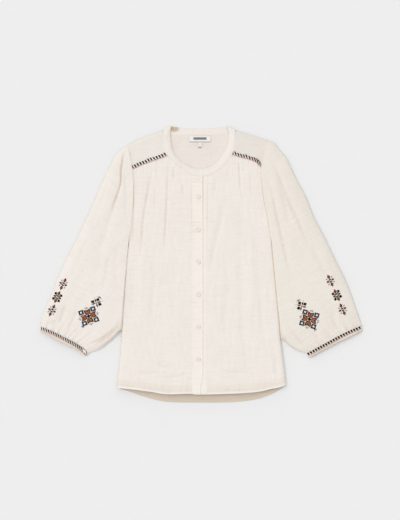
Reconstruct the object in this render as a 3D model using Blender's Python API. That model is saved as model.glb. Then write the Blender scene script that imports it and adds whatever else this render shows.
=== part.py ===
"""Embroidered blouse with balloon sleeves, laid flat on its back on a table.

All tables are in millimetres. +X is the wearer's left, +Y is towards the neck, +Z is up,
and the cloth's underside rests on z = 0. A plan point is (x, y), seen from straight above.
"right" and "left" in a name are the wearer's.
"""
import bmesh
import bpy
import numpy as np

# Driving dimensions
MM = 0.001
WALL = 1.2                 # cloth wall, thick enough to stand as a solid
SEAM_GAP = 0.44            # pieces stand apart at a seam in plan, about 0.3 clear
LAYER_GAP = 0.3            # between a piece and what lies on it
EDGE_LOW = 2.35            # top of the back's turned-up edge at the side and shoulder seams
EDGE_HIGH = EDGE_LOW + LAYER_GAP
EDGE_ROUND_BACK = 6.0      # how far in from a seam the back takes to lie flat
EDGE_ROUND_FRONT = 15.0    # how far in from a seam the front takes to reach its height
ARM_ROUND = 24.0           # the same, along the armhole from the shoulder and the underarm
ARM_HEIGHT = 8.6           # height of the armhole seam on the upper layer
TRIM_WIDTH = 11.0
TRIM_THICK = 1.0
PLACKET_LEFT = -22.0
PLACKET_RIGHT = 4.9
PLACKET_RISE = 0.5         # the doubled placket stands this much above the front
BAND_LEFT = -13.0
BAND_RIGHT = 13.7
BAND_DROP = 1.0            # the under band lies this much below the front
BUTTON_X = -6.4
BUTTON_RADIUS = 5.2
BUTTON_THICK = 2.4
BUTTON_TOP_Y = 163.0
BUTTON_PITCH = 79.6
BUTTON_COUNT = 6
LABEL = (-28.5, 23.5, 297.8, 312.4)      # x from, x to, y from, y to
SIZE_TAB = (-8.0, 2.6, 283.0, 297.4)
LABEL_THICK = 1.0
NECK_FOLD_RADIUS = 2.6
BAND_INSET = 0.35          # the neckband's own share of its seam gap
FRONT_ARM_INSET = 0.5      # a front's and the back's own share of the armhole gap, more
BACK_ARM_INSET = 0.9       # where fewer points follow the curve
BACK_NECK_INSET = 0.7
YOKE_NECK_INSET = 0.5
BAND_CORNER_INSET = 1.3    # where the neckband turns over the shoulder
STRIP_TOP_GAP = 1.0        # from the neckband's seam to the top of a centre strip
INSET_REACH = 14.0         # how far in the points near a seam are eased with it
CENTRE_SHIFT = (-0.5, 2.9)  # brings the whole blouse's box to stand centred on the origin
PLACKET_SLANT = -6.0       # how far the placket's edge leans over at the hem
SLANT_FROM_Y = -255.0
SLANT_REACH = 60.0
LIFT_EASE = 12.0           # along a shoulder, from its ends, where the back's lift fades in
TRIM_CLEARANCE = 0.55      # under a yoke's trim, where the surface below is curved
CUFF_TRIM_CLEARANCE = 0.5

# Height of the upper layer above the table along the middle: y, height
MIDDLE_HEIGHT = [
    (-330.0, 15.5), (-300.0, 14.6), (-250.0, 13.2), (-100.0, 11.6), (100.0, 11.0),
    (215.0, 9.6), (250.0, 8.9), (290.0, 7.8), (332.0, 6.6),
]
SIDE_FALL = 0.18           # share of the height that is lost towards the sides

# Outlines, x and y of points along each curve
RIGHT_SHOULDER = [(-180.1, 287.9), (-156.8, 302.8), (-123.0, 315.3), (-93.1, 325.3)]
LEFT_SHOULDER = [(164.2, 301.4), (146.0, 307.5), (114.9, 317.8), (84.5, 325.3)]
RIGHT_ARMHOLE = [
    (-180.1, 287.9), (-176.4, 273.2), (-172.0, 248.7), (-166.8, 225.0), (-165.4, 192.3),
    (-166.8, 143.3), (-171.0, 94.3), (-175.2, 62.5),
]
LEFT_ARMHOLE = [
    (164.2, 301.4), (157.5, 287.9), (150.7, 268.3), (147.0, 240.0), (146.5, 214.4),
    (150.2, 177.6), (156.8, 140.0), (164.2, 105.0), (171.5, 62.5),
]
RIGHT_SIDE = [
    (-175.2, 62.5), (-181.3, 8.6), (-188.7, -89.4), (-193.6, -162.9), (-198.5, -236.4),
    (-205.8, -305.0),
]
LEFT_SIDE = [
    (171.5, 62.5), (175.6, 20.0), (185.0, -79.6), (190.6, -136.0), (194.6, -180.0),
    (200.9, -229.1), (208.3, -296.5),
]
RIGHT_YOKE_SEAM = [
    (-167.9, 230.0), (-147.0, 240.0), (-122.9, 248.5), (-103.3, 255.8), (-80.6, 263.6),
]
LEFT_YOKE_SEAM = [
    (146.7, 232.6), (139.6, 242.0), (128.4, 250.4), (106.3, 256.9), (74.6, 265.6),
]
NECK_SEAM = [
    (-93.1, 325.3), (-94.3, 302.6), (-92.4, 281.0), (-78.6, 260.9), (-53.9, 238.9),
    (-22.0, 217.4), (-2.5, 213.6), (21.3, 216.8), (52.4, 236.4), (74.5, 265.8),
    (83.8, 297.9), (84.5, 325.3),
]
NECK_FREE_EDGE = [
    (-73.5, 332.2), (-75.3, 318.0), (-74.0, 295.2), (-70.4, 279.0), (-60.0, 260.9),
    (-35.0, 241.8), (-0.5, 230.8), (33.8, 244.8), (52.4, 266.8), (65.2, 291.8),
    (68.1, 313.6), (66.6, 333.0),
]
BACK_NECK_SEAM = [
    (-93.1, 325.3), (-76.0, 318.4), (-59.5, 314.0), (-23.5, 315.2), (0.0, 314.6),
    (33.0, 316.0), (62.0, 319.0), (84.5, 325.3),
]
BACK_NECK_FREE_EDGE = [
    (-73.5, 332.2), (-55.0, 332.0), (-37.7, 330.4), (-10.0, 329.8), (17.0, 330.5),
    (39.0, 331.6), (56.0, 332.8), (66.6, 333.0),
]
FRONT_HEM = [
    (-205.8, -305.0), (-173.9, -307.5), (-125.0, -313.6), (-85.8, -319.7), (-29.4, -318.5),
    (0.0, -320.5), (71.0, -318.5), (120.0, -316.0), (149.0, -312.4), (169.0, -307.5),
    (193.6, -302.6), (208.3, -296.5),
]
BACK_HEM = [
    (-205.8, -305.0), (-183.1, -312.2), (-149.5, -323.8), (-125.0, -331.0), (-100.5, -336.8),
    (-76.0, -340.0), (-30.0, -341.2), (46.0, -341.2), (84.0, -339.8), (114.0, -336.8),
    (144.6, -331.0), (172.0, -321.0), (195.0, -308.6), (208.3, -296.5),
]
RIGHT_SLEEVE_OUTER = [
    (-180.1, 287.9), (-198.5, 278.1), (-208.3, 268.3), (-218.1, 248.7), (-237.7, 209.5),
    (-262.2, 150.7), (-289.1, 91.9), (-318.5, 33.1), (-346.7, -25.7), (-370.0, -84.5),
    (-388.0, -128.0), (-393.6, -152.0),
]
LEFT_SLEEVE_OUTER = [
    (164.2, 301.4), (178.9, 296.4), (191.1, 280.4), (210.7, 257.2), (232.8, 209.5),
    (257.3, 162.9), (276.9, 113.9), (303.8, 62.5), (328.3, 11.0), (352.8, -38.0),
    (370.0, -82.1), (387.1, -131.1), (393.4, -149.5),
]
RIGHT_SLEEVE_INNER = [
    (-175.2, 62.5), (-181.0, 30.0), (-187.3, -40.0), (-193.2, -120.0), (-195.9, -150.0),
    (-203.4, -169.0), (-223.0, -190.5), (-247.5, -209.0), (-275.5, -219.5),
]
LEFT_SLEEVE_INNER = [
    (171.5, 62.5), (177.8, 15.0), (187.1, -79.6), (193.6, -143.3), (197.9, -178.0),
    (210.7, -195.0), (223.0, -205.5), (240.1, -215.6), (257.4, -218.6),
]
RIGHT_CUFF_SEAM = [
    (-393.6, -152.0), (-363.2, -164.2), (-340.3, -175.4), (-317.3, -187.0), (-302.0, -195.6),
    (-286.6, -207.0), (-275.5, -219.5),
]
LEFT_CUFF_SEAM = [(393.4, -149.5), (350.0, -168.4), (305.0, -192.6), (257.4, -218.6)]
RIGHT_CUFF_EDGE = [
    (-395.0, -164.4), (-378.5, -173.0), (-357.0, -185.0), (-341.0, -194.0), (-323.4, -201.4),
    (-305.0, -210.2), (-294.3, -217.0), (-281.0, -227.4),
]
LEFT_CUFF_EDGE = [
    (396.0, -163.5), (359.7, -181.8), (338.1, -191.6), (318.5, -201.6), (292.5, -215.2),
    (264.0, -231.0),
]

# Sleeve height above the table along its length: share of the length, height
SLEEVE_HEIGHT = [(0.0, 8.6), (0.1, 12.0), (0.35, 14.0), (0.8, 17.0), (0.93, 13.5), (1.0, 9.6)]
SLEEVE_ROUND = [(0.0, 24.0), (0.15, 34.0), (0.8, 44.0), (1.0, 20.0)]
CUFF_HEIGHT = 9.4
CUFF_ROUND = 18.0

# Large folds: depth, half width, then x and y of points along the trough
RIGHT_FRONT_FOLDS = [
    (2.5, 5.0, [(-117.8, 239.6), (-128.0, 188.0), (-141.0, 110.0), (-149.0, 9.0)]),
    (3.0, 5.0, [(-81.0, 255.0), (-82.6, 190.0), (-87.0, 90.0), (-93.0, 20.0)]),
    (1.8, 9.0, [(-112.0, 20.0), (-117.0, -60.0), (-124.0, -150.7)]),
    (1.5, 5.0, [(-95.0, -281.0), (-62.0, -276.0), (-30.0, -268.0)]),
]
LEFT_FRONT_FOLDS = [
    (2.6, 8.0, [(56.0, 150.0), (44.0, 92.0), (30.0, 30.0), (20.0, -25.0)]),
    (2.0, 5.0, [(92.0, 252.0), (94.6, 215.0), (96.0, 160.0)]),
    (2.4, 11.0, [(92.0, 70.0), (97.0, -20.0), (102.0, -150.7), (113.2, -250.0)]),
    (1.4, 9.0, [(137.0, 40.0), (143.0, -60.0), (160.0, -250.0)]),
]
RIGHT_SLEEVE_FOLDS = [
    (2.8, 6.5, [(-184.5, 276.0), (-194.3, 251.6), (-196.5, 220.3), (-204.3, 182.8),
                (-218.0, 143.3), (-235.2, 94.3), (-256.0, 10.0)]),
    (2.2, 9.0, [(-214.0, 10.0), (-232.0, -40.0), (-258.0, -90.0)]),
    (2.8, 7.0, [(-199.0, -128.0), (-208.0, -158.0), (-232.0, -184.0), (-262.0, -201.0)]),
    (2.6, 8.0, [(-296.0, -104.0), (-314.0, -140.0), (-330.0, -168.0)]),
    (2.6, 7.0, [(-325.0, -88.0), (-338.0, -122.0), (-348.0, -152.0)]),
]
LEFT_SLEEVE_FOLDS = [
    (2.6, 8.0, [(172.0, 266.0), (190.0, 222.0), (212.0, 172.0), (243.0, 112.0), (270.0, 30.0)]),
    (2.6, 8.0, [(164.0, 214.0), (178.0, 160.0), (192.0, 92.0), (208.0, 10.0), (224.0, -48.0)]),
    (2.6, 9.0, [(276.0, 36.0), (300.0, -14.0), (322.0, -60.0)]),
    (3.0, 8.0, [(222.0, -150.0), (240.0, -178.0), (262.0, -196.0)]),
    (2.6, 8.0, [(318.0, -116.0), (328.0, -140.0), (334.0, -164.0)]),
]

# Gathers: how many, depth, and how far from the seam they have halved
YOKE_GATHERS = (8, 1.1, 34.0)
CUFF_GATHERS = (11, 1.5, 26.0)
CAP_GATHERS = (7, 1.2, 24.0)

# Colour as linear red, green and blue, then roughness
CLOTH = (0.83, 0.78, 0.715, 0.9)
TRIM = (0.09, 0.1, 0.14, 0.8)
SHELL = (0.8, 0.77, 0.72, 0.3)
LABEL_CLOTH = (0.86, 0.86, 0.86, 0.85)


def blank_scene():
    for item in list(bpy.context.scene.objects):
        bpy.data.objects.remove(item, do_unlink=True)


def material(name, finish):
    made = bpy.data.materials.new(name)
    made.use_nodes = True
    shader = made.node_tree.nodes["Principled BSDF"]
    shader.inputs["Base Color"].default_value = (*finish[:3], 1.0)
    shader.inputs["Roughness"].default_value = finish[3]
    shader.inputs["Metallic"].default_value = 0.0
    return made


class Curve:
    """A smooth plan curve through given points, read by the share of its length."""

    def __init__(self, points, steps=24):
        knots = np.array(points, float)
        padded = np.vstack([2 * knots[0] - knots[1], knots, 2 * knots[-1] - knots[-2]])
        u = np.linspace(0.0, 1.0, steps, endpoint=False)[:, None]
        runs = []
        for i in range(len(knots) - 1):
            a, b, c, d = padded[i:i + 4]
            cubic = (3 * b - a - 3 * c + d) * u ** 3
            square = (2 * a - 5 * b + 4 * c - d) * u ** 2
            runs.append(0.5 * (2 * b + (c - a) * u + square + cubic))
        self.line = np.vstack(runs + [knots[-1:]])
        hops = np.hypot(*np.diff(self.line, axis=0).T)
        self.along = np.concatenate([[0.0], np.cumsum(hops)])
        self.length = self.along[-1]

    def at(self, share):
        way = np.asarray(share, float) * self.length
        x = np.interp(way, self.along, self.line[:, 0])
        y = np.interp(way, self.along, self.line[:, 1])
        return np.stack([x, y], axis=-1)

    def share_where(self, axis, value, after=0.0, before=1.0):
        """The share of the length at which x (axis 0) or y (axis 1) comes nearest a value."""
        shares = np.linspace(after, before, 2001)
        return shares[np.argmin(np.abs(self.at(shares)[:, axis] - value))]

    def part(self, start, end):
        return Curve(self.at(np.linspace(start, end, 40)), steps=4)


def joined(first, second, turn):
    """One curve function: the first curve up to the share called turn, then the second."""
    def at(share):
        share = np.asarray(share, float)
        early = first.at(np.clip(share / turn, 0.0, 1.0))
        late = second.at(np.clip((share - turn) / (1.0 - turn), 0.0, 1.0))
        return np.where((share < turn)[..., None], early, late)
    return at


def patch(top, bottom, left, right, s, t):
    """Plan points between four edges: s runs from top to bottom, t from left to right."""
    s_grid = s[:, None, None]
    t_grid = t[None, :, None]
    across = (1 - s_grid) * top(t)[None] + s_grid * bottom(t)[None]
    down = (1 - t_grid) * left(s)[:, None] + t_grid * right(s)[:, None]
    corners = (
        (1 - s_grid) * ((1 - t_grid) * top(0.0) + t_grid * top(1.0))
        + s_grid * ((1 - t_grid) * bottom(0.0) + t_grid * bottom(1.0))
    )
    return across + down - corners


def inset(plan, top=0.0, bottom=0.0, left=0.0, right=0.0):
    """Draws each edge in by the given amount for the seam gap, and eases what is near it."""
    moved = plan.copy()

    def ease(rows, amount):
        away = rows[1:] - rows[:1]
        reach = np.linalg.norm(away, axis=-1, keepdims=True)
        direction = away[:1] / np.maximum(reach[:1], 1e-9)
        weight = np.clip(1.0 - reach / INSET_REACH, 0.0, 1.0)
        rows[1:] += direction * amount * weight
        rows[:1] += direction * amount

    ease(moved, top)
    ease(moved[::-1], bottom)
    ease(moved.swapaxes(0, 1), left)
    ease(moved.swapaxes(0, 1)[::-1], right)
    return moved


def rounded(share):
    """A quarter round: 0 at the edge with an upright start, 1 from share 1 on."""
    return np.sqrt(1.0 - (1.0 - np.clip(share, 0.0, 1.0)) ** 2)


def smooth(share):
    share = np.clip(share, 0.0, 1.0)
    return share * share * (3.0 - 2.0 * share)


def middle_height(y):
    rows = np.array(MIDDLE_HEIGHT)
    return np.interp(y, rows[:, 0], rows[:, 1])


def front_height(x, y):
    return middle_height(y) * (1.0 - SIDE_FALL * (np.abs(x) / 200.0) ** 2)


def armhole_height(curve, share):
    """Height of the upper layer along an armhole, low at the shoulder and the underarm."""
    reach = np.minimum(share, 1.0 - share) * curve.length
    return EDGE_HIGH + (ARM_HEIGHT - EDGE_HIGH) * rounded(reach / ARM_ROUND)


def fold_depth(plan, folds):
    """How far the folds take the cloth down at each plan point."""
    total = np.zeros(plan.shape[:-1])
    for depth, half_width, points in folds:
        line = Curve(points).at(np.linspace(0.0, 1.0, 60))
        gaps = np.linalg.norm(plan[..., None, :] - line, axis=-1)
        nearest = np.argmin(gaps, axis=-1)
        fade = smooth(np.minimum(nearest, 59 - nearest) / 16.0)
        total += depth * fade * np.exp(-(gaps.min(axis=-1) / half_width) ** 2)
    return total


def gather_wave(share, count, variety=2.4):
    """Waves with troughs between shares 0 and 1, each a little different in depth."""
    number = np.floor(np.clip(share, 0.0, 0.9999) * count)
    size = 0.75 + 0.25 * np.sin(variety * number + 0.7)
    wave = 0.5 - 0.5 * np.cos(2 * np.pi * share * count)
    return np.where((share > 0) & (share < 1), wave * size, 0.0)


def surface_normals(grid, closed=False):
    """Unit normals of a grid of points, up where the grid runs down then to the right."""
    down = np.gradient(grid, axis=0)
    if closed:
        across = np.roll(grid, -1, axis=1) - np.roll(grid, 1, axis=1)
    else:
        across = np.gradient(grid, axis=1)
    normal = np.cross(down, across)
    size = np.linalg.norm(normal, axis=-1, keepdims=True)
    return normal / np.maximum(size, 1e-9)


def level_out(normals, direction):
    """Takes the part along a plan direction out of each normal, so an end stays square."""
    axis = np.concatenate([direction, np.zeros(direction.shape[:-1] + (1,))], axis=-1)
    axis /= np.linalg.norm(axis, axis=-1, keepdims=True)
    flat = normals - axis * np.sum(normals * axis, axis=-1, keepdims=True)
    return flat / np.linalg.norm(flat, axis=-1, keepdims=True)


def sideways(direction):
    """A unit normal that lies flat and points along the plan direction."""
    axis = np.concatenate([direction, np.zeros(direction.shape[:-1] + (1,))], axis=-1)
    return axis / np.linalg.norm(axis, axis=-1, keepdims=True)


def wall(name, outer, inner, finish, closed=False):
    """A closed solid between two grids of points, with its rim filled in."""
    rows, columns = outer.shape[:2]
    mesh = bmesh.new()
    shift = np.array([*CENTRE_SHIFT, 0.0])
    outside = [[mesh.verts.new((p + shift) * MM) for p in row] for row in outer]
    inside = [[mesh.verts.new((p + shift) * MM) for p in row] for row in inner]
    last = columns if closed else columns - 1
    for r in range(rows - 1):
        for c in range(last):
            d = (c + 1) % columns
            mesh.faces.new([outside[r][c], outside[r][d], outside[r + 1][d], outside[r + 1][c]])
            mesh.faces.new([inside[r][c], inside[r + 1][c], inside[r + 1][d], inside[r][d]])
    for c in range(last):
        d = (c + 1) % columns
        mesh.faces.new([outside[0][c], inside[0][c], inside[0][d], outside[0][d]])
        mesh.faces.new([outside[-1][c], outside[-1][d], inside[-1][d], inside[-1][c]])
    if not closed:
        for r in range(rows - 1):
            mesh.faces.new([outside[r][0], outside[r + 1][0], inside[r + 1][0], inside[r][0]])
            mesh.faces.new([outside[r][-1], inside[r][-1], inside[r + 1][-1], outside[r + 1][-1]])
    bmesh.ops.recalc_face_normals(mesh, faces=mesh.faces)
    return finish_object(name, mesh, finish)


def finish_object(name, mesh, finish):
    data = bpy.data.meshes.new(name)
    mesh.to_mesh(data)
    mesh.free()
    data.shade_smooth()
    data.set_sharp_from_angle(angle=0.7)
    made = bpy.data.objects.new(name, data)
    data.materials.append(material(name + "_cloth", finish))
    bpy.context.collection.objects.link(made)
    return made


def with_height(plan, z):
    return np.concatenate([plan, z[..., None]], axis=-1)


def column_shares(count, edge_steps=(0.0, 0.004, 0.015, 0.035)):
    """Column places across a panel: close together where its edge rounds over."""
    return np.concatenate([edge_steps, np.linspace(0.065, 1.0, count - len(edge_steps))])


class Side:
    """The curves of one side of the blouse: sign is -1 for the right, +1 for the left."""

    def __init__(self, name, sign, shoulder, armhole, side, yoke_seam, folds):
        self.name = name
        self.sign = sign
        self.shoulder = Curve(shoulder)
        self.armhole = Curve(armhole)
        self.side = Curve(side)
        self.yoke_seam = Curve(yoke_seam)
        self.folds = folds
        self.yoke_end = self.armhole.share_where(1, yoke_seam[0][1])


NECK = Curve(NECK_SEAM)
NECK_FREE = Curve(NECK_FREE_EDGE)
BACK_NECK = Curve(BACK_NECK_SEAM)
BACK_NECK_FREE = Curve(BACK_NECK_FREE_EDGE)
HEM = Curve(FRONT_HEM)
HEM_BACK = Curve(BACK_HEM)
RIGHT = Side("right", -1, RIGHT_SHOULDER, RIGHT_ARMHOLE, RIGHT_SIDE, RIGHT_YOKE_SEAM,
             RIGHT_FRONT_FOLDS)
LEFT = Side("left", 1, LEFT_SHOULDER, LEFT_ARMHOLE, LEFT_SIDE, LEFT_YOKE_SEAM,
            LEFT_FRONT_FOLDS)


def neck_part(side, from_point, to_x):
    """The neck seam from a given point of the yoke seam to the centre strip."""
    shares = np.linspace(0.0, 1.0, 2001)
    gaps = np.linalg.norm(NECK.at(shares) - np.array(from_point), axis=-1)
    start = shares[np.argmin(gaps)]
    return start, NECK.share_where(0, to_x, 0.3, 0.7)


def front_plan(side, centre_x, s, t):
    """Plan points of a front panel: s from the yoke to the hem, t from the side in."""
    start, end = neck_part(side, side.yoke_seam.at(1.0), centre_x)
    neckline = NECK.part(start, end)
    top = joined(side.yoke_seam, neckline, 0.5)
    lower_armhole = side.armhole.part(side.yoke_end, 1.0)
    turn = lower_armhole.length / (lower_armhole.length + side.side.length)
    edge = joined(lower_armhole, side.side, turn)
    hem_end = HEM.share_where(0, centre_x, 0.3, 0.7)
    hem = HEM.part(0.0 if side.sign < 0 else 1.0, hem_end)
    y_top = NECK.at(end)[1]
    y_bottom = HEM.at(hem_end)[1]

    def centre(share):
        share = np.asarray(share, float)
        y = y_top + (y_bottom - y_top) * share
        return np.stack([np.full(share.shape, centre_x), y], axis=-1)

    return patch(top, hem.at, edge, centre, s, t), turn


def front_edge_height(side, s, turn):
    """Height of a front's outer edge: on the armhole down to the turn, then the side seam."""
    share = side.yoke_end + (1.0 - side.yoke_end) * np.clip(s / turn, 0.0, 1.0)
    return np.where(s < turn, armhole_height(side.armhole, share), EDGE_HIGH)


def front_panel(side, centre_x, columns, rows):
    """A front: gathered to the yoke, plain along the neck, hanging to the hem."""
    t = column_shares(columns)
    s = rows
    plan, turn = front_plan(side, centre_x, s, t)
    plan = inset(plan, top=SEAM_GAP / 2)
    on_arm = s < turn - 1e-6
    pulled = inset(plan, left=FRONT_ARM_INSET)
    plan[on_arm] = pulled[on_arm]
    x, y = plan[..., 0], plan[..., 1]
    edge = front_edge_height(side, s, turn)[:, None]
    reach = np.linalg.norm(plan - plan[:, :1], axis=-1)
    full = front_height(x, y)
    if side.sign > 0:
        full = full - BAND_DROP * (1.0 - smooth((x - centre_x) / 14.0))
    below_yoke = np.linalg.norm(plan - plan[:1], axis=-1)
    count, depth, halving = YOKE_GATHERS
    waves = gather_wave((t - 0.06) / 0.44, count)[None, :]
    full = full - depth * waves * 0.5 ** (below_yoke / halving) * smooth(below_yoke / 6.0 + 0.3)
    full = full - fold_depth(plan, side.folds)
    z = edge + (full - edge) * rounded(reach / EDGE_ROUND_FRONT)
    outer = with_height(plan, z)
    normals = surface_normals(outer) * -side.sign
    out = np.stack([np.full(len(s), float(side.sign)), np.zeros(len(s))], axis=-1)
    normals[on_arm, 0] = level_out(normals[on_arm, 0], out[on_arm])
    normals[~on_arm, 0] = sideways(out[~on_arm])
    normals[:, -1] = level_out(normals[:, -1], out)
    up = np.tile([0.0, 1.0], (len(t), 1))
    first_run = plan[0] - plan[1]
    normals[0, 1:] = level_out(normals[0, 1:], first_run[1:])
    normals[-1, 1:] = level_out(normals[-1, 1:], up[1:])
    inner = outer - normals * WALL
    wall("front_" + side.name, outer, inner, CLOTH)


def yoke_plan(side, s, t):
    """Plan points of a yoke: s from the shoulder down to the yoke seam, t inwards."""
    start, _ = neck_part(side, side.yoke_seam.at(1.0), 0.0)
    neck_side = NECK.part(0.0 if side.sign < 0 else 1.0, start)
    arm_side = side.armhole.part(0.0, side.yoke_end)
    return patch(side.shoulder.at, side.yoke_seam.at, arm_side.at, neck_side.at, s, t)


def yoke_surface(side, s, t):
    plan = yoke_plan(side, s, t)
    x, y = plan[..., 0], plan[..., 1]
    full = front_height(x, y)
    arm_share = side.yoke_end * s
    edge = armhole_height(side.armhole, arm_share)[:, None]
    reach = np.linalg.norm(plan - plan[:, :1], axis=-1)
    full = edge + (full - edge) * rounded(reach / EDGE_ROUND_FRONT)
    from_shoulder = np.linalg.norm(plan - plan[:1], axis=-1)
    z = EDGE_HIGH + (full - EDGE_HIGH) * rounded(from_shoulder / EDGE_ROUND_FRONT)
    return with_height(plan, z)


def yoke(side):
    """The plain yoke between the shoulder, the neckband and the gathered front."""
    t = np.linspace(0.0, 1.0, 11)
    s = np.array([0.0, 0.02, 0.07, 0.16, 0.28, 0.42, 0.56, 0.7, 0.85, 1.0])
    outer = yoke_surface(side, s, t)
    outer[..., :2] = inset(outer[..., :2], bottom=SEAM_GAP / 2, left=SEAM_GAP / 2,
                           right=YOKE_NECK_INSET)
    normals = surface_normals(outer) * -side.sign
    up = np.stack([outer[0, :, 0] - outer[2, :, 0], outer[0, :, 1] - outer[2, :, 1]], axis=-1)
    normals[:, 0] = level_out(normals[:, 0], (outer[:, 1] - outer[:, 0])[:, :2])
    normals[:, -1] = level_out(normals[:, -1], (outer[:, -1] - outer[:, -2])[:, :2])
    normals[-1] = level_out(normals[-1], (outer[-1] - outer[-2])[:, :2])
    normals[0] = sideways(up)
    wall("yoke_" + side.name, outer, outer - normals * WALL, CLOTH)


def yoke_trim(side):
    """The woven trim along the yoke's lower edge, made from the yoke's points moved out."""
    t = np.linspace(0.035, 0.985, 15)
    edges = []
    for back_off in (1.0, TRIM_WIDTH):
        surface = yoke_surface(side, np.linspace(0.0, 1.0, 200), t)
        gaps = np.linalg.norm(surface[..., :2] - surface[-1:, :, :2], axis=-1)
        pick = np.argmin(np.abs(gaps - back_off), axis=0)
        edges.append(surface[pick, np.arange(len(t))])
    low, high = edges
    base = np.stack([high, (high + low) / 2, low])
    lift = np.array([0.0, 0.0, 1.0])
    bottom = base + lift * TRIM_CLEARANCE
    wall("yoke_trim_" + side.name, bottom + lift * TRIM_THICK, bottom, TRIM)


def back_panel():
    """The back, flat on the table, with its edges turned up to the seams."""
    def edge(side):
        turn = side.armhole.length / (side.armhole.length + side.side.length)
        return joined(side.armhole, side.side, turn), turn

    left_edge, right_turn = edge(RIGHT)
    right_edge, left_turn = edge(LEFT)
    first = RIGHT.shoulder.length
    middle = BACK_NECK.length
    last = LEFT.shoulder.length
    whole = first + middle + last

    def top(share):
        way = np.asarray(share, float) * whole
        near = RIGHT.shoulder.at(np.clip(way / first, 0.0, 1.0))
        mid = BACK_NECK.at(np.clip((way - first) / middle, 0.0, 1.0))
        far = LEFT.shoulder.at(np.clip((whole - way) / last, 0.0, 1.0))
        past = (way > first)[..., None]
        beyond = (way > first + middle)[..., None]
        return np.where(beyond, far, np.where(past, mid, near))

    edge_steps = np.array([0.0, 0.002, 0.008, 0.02])
    corner_a = first / whole
    corner_b = (first + middle) / whole
    t = np.concatenate([
        edge_steps, np.linspace(0.05, corner_a, 4), np.linspace(corner_a, corner_b, 11)[1:-1],
        np.linspace(corner_b, 0.95, 4), 1.0 - edge_steps[::-1],
    ])
    turn = (right_turn + left_turn) / 2
    s = np.concatenate([
        [0.0, 0.0015, 0.006, 0.014], np.linspace(0.04, turn, 12), np.linspace(turn, 1.0, 9)[1:],
    ])
    plan = patch(top, HEM_BACK.at, left_edge, right_edge, s, t)
    plan = inset(plan, top=BACK_NECK_INSET)
    on_arm = s <= turn + 1e-6
    plan[on_arm] = inset(plan, left=BACK_ARM_INSET, right=BACK_ARM_INSET)[on_arm]

    on_shoulder = (t <= corner_a + 1e-6) | (t >= corner_b - 1e-6)
    to_corner = np.minimum(np.abs(t - corner_a), np.abs(t - corner_b)) * whole
    to_end = np.minimum(to_corner, np.minimum(t, 1.0 - t) * whole)
    from_top = np.linalg.norm(plan - plan[:1], axis=-1)
    shoulder_lift = EDGE_LOW * (1.0 - rounded(from_top / EDGE_ROUND_BACK))
    shoulder_lift = shoulder_lift * (on_shoulder * smooth(to_end / LIFT_EASE))[None, :]
    from_side = np.minimum(np.linalg.norm(plan - plan[:, :1], axis=-1),
                           np.linalg.norm(plan - plan[:, -1:], axis=-1))
    side_lift = EDGE_LOW * (1.0 - rounded(from_side / EDGE_ROUND_BACK))
    side_lift = side_lift * smooth((s - turn) / 0.03)[:, None]
    z = np.maximum(shoulder_lift, side_lift)

    outer = with_height(plan, z)
    normals = -surface_normals(outer)
    normals = np.where(normals[..., 2:] > 0, -normals, normals)
    normals[z < 1e-6] = np.array([0.0, 0.0, -1.0])
    below = s > turn + 0.03
    left_out = np.tile([-1.0, 0.0], (len(s), 1))
    normals[below, 0] = sideways(left_out[below])
    normals[below, -1] = sideways(-left_out[below])
    up = np.tile([0.0, 1.0], (len(t), 1))
    raised = on_shoulder & (to_end > LIFT_EASE)
    normals[0, raised] = sideways(up[raised])
    wall("back", outer, outer - normals * WALL, CLOTH)


def centre_strip(name, x_left, x_right, drop, near_hem, rows):
    """A long strip down the front: the placket, or the button band under it."""
    s = np.linspace(0.0, 1.0, rows)
    t = np.linspace(0.0, 1.0, 5)
    places = x_left + (x_right - x_left) * t
    top = np.array([NECK.at(NECK.share_where(0, x, 0.3, 0.7))[1] for x in places]) - STRIP_TOP_GAP
    low = np.array([HEM.at(HEM.share_where(0, x, 0.3, 0.7))[1] for x in places])
    y = top[None, :] + (low - top)[None, :] * s[:, None]
    slant = near_hem * smooth((SLANT_FROM_Y - y) / SLANT_REACH)
    x = places[None, :] + slant * t[None, :]
    z = front_height(x, y) - drop
    outer = np.stack([x, y, z], axis=-1)
    lift = np.array([0.0, 0.0, WALL])
    wall(name, outer, outer - lift, CLOTH)


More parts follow.
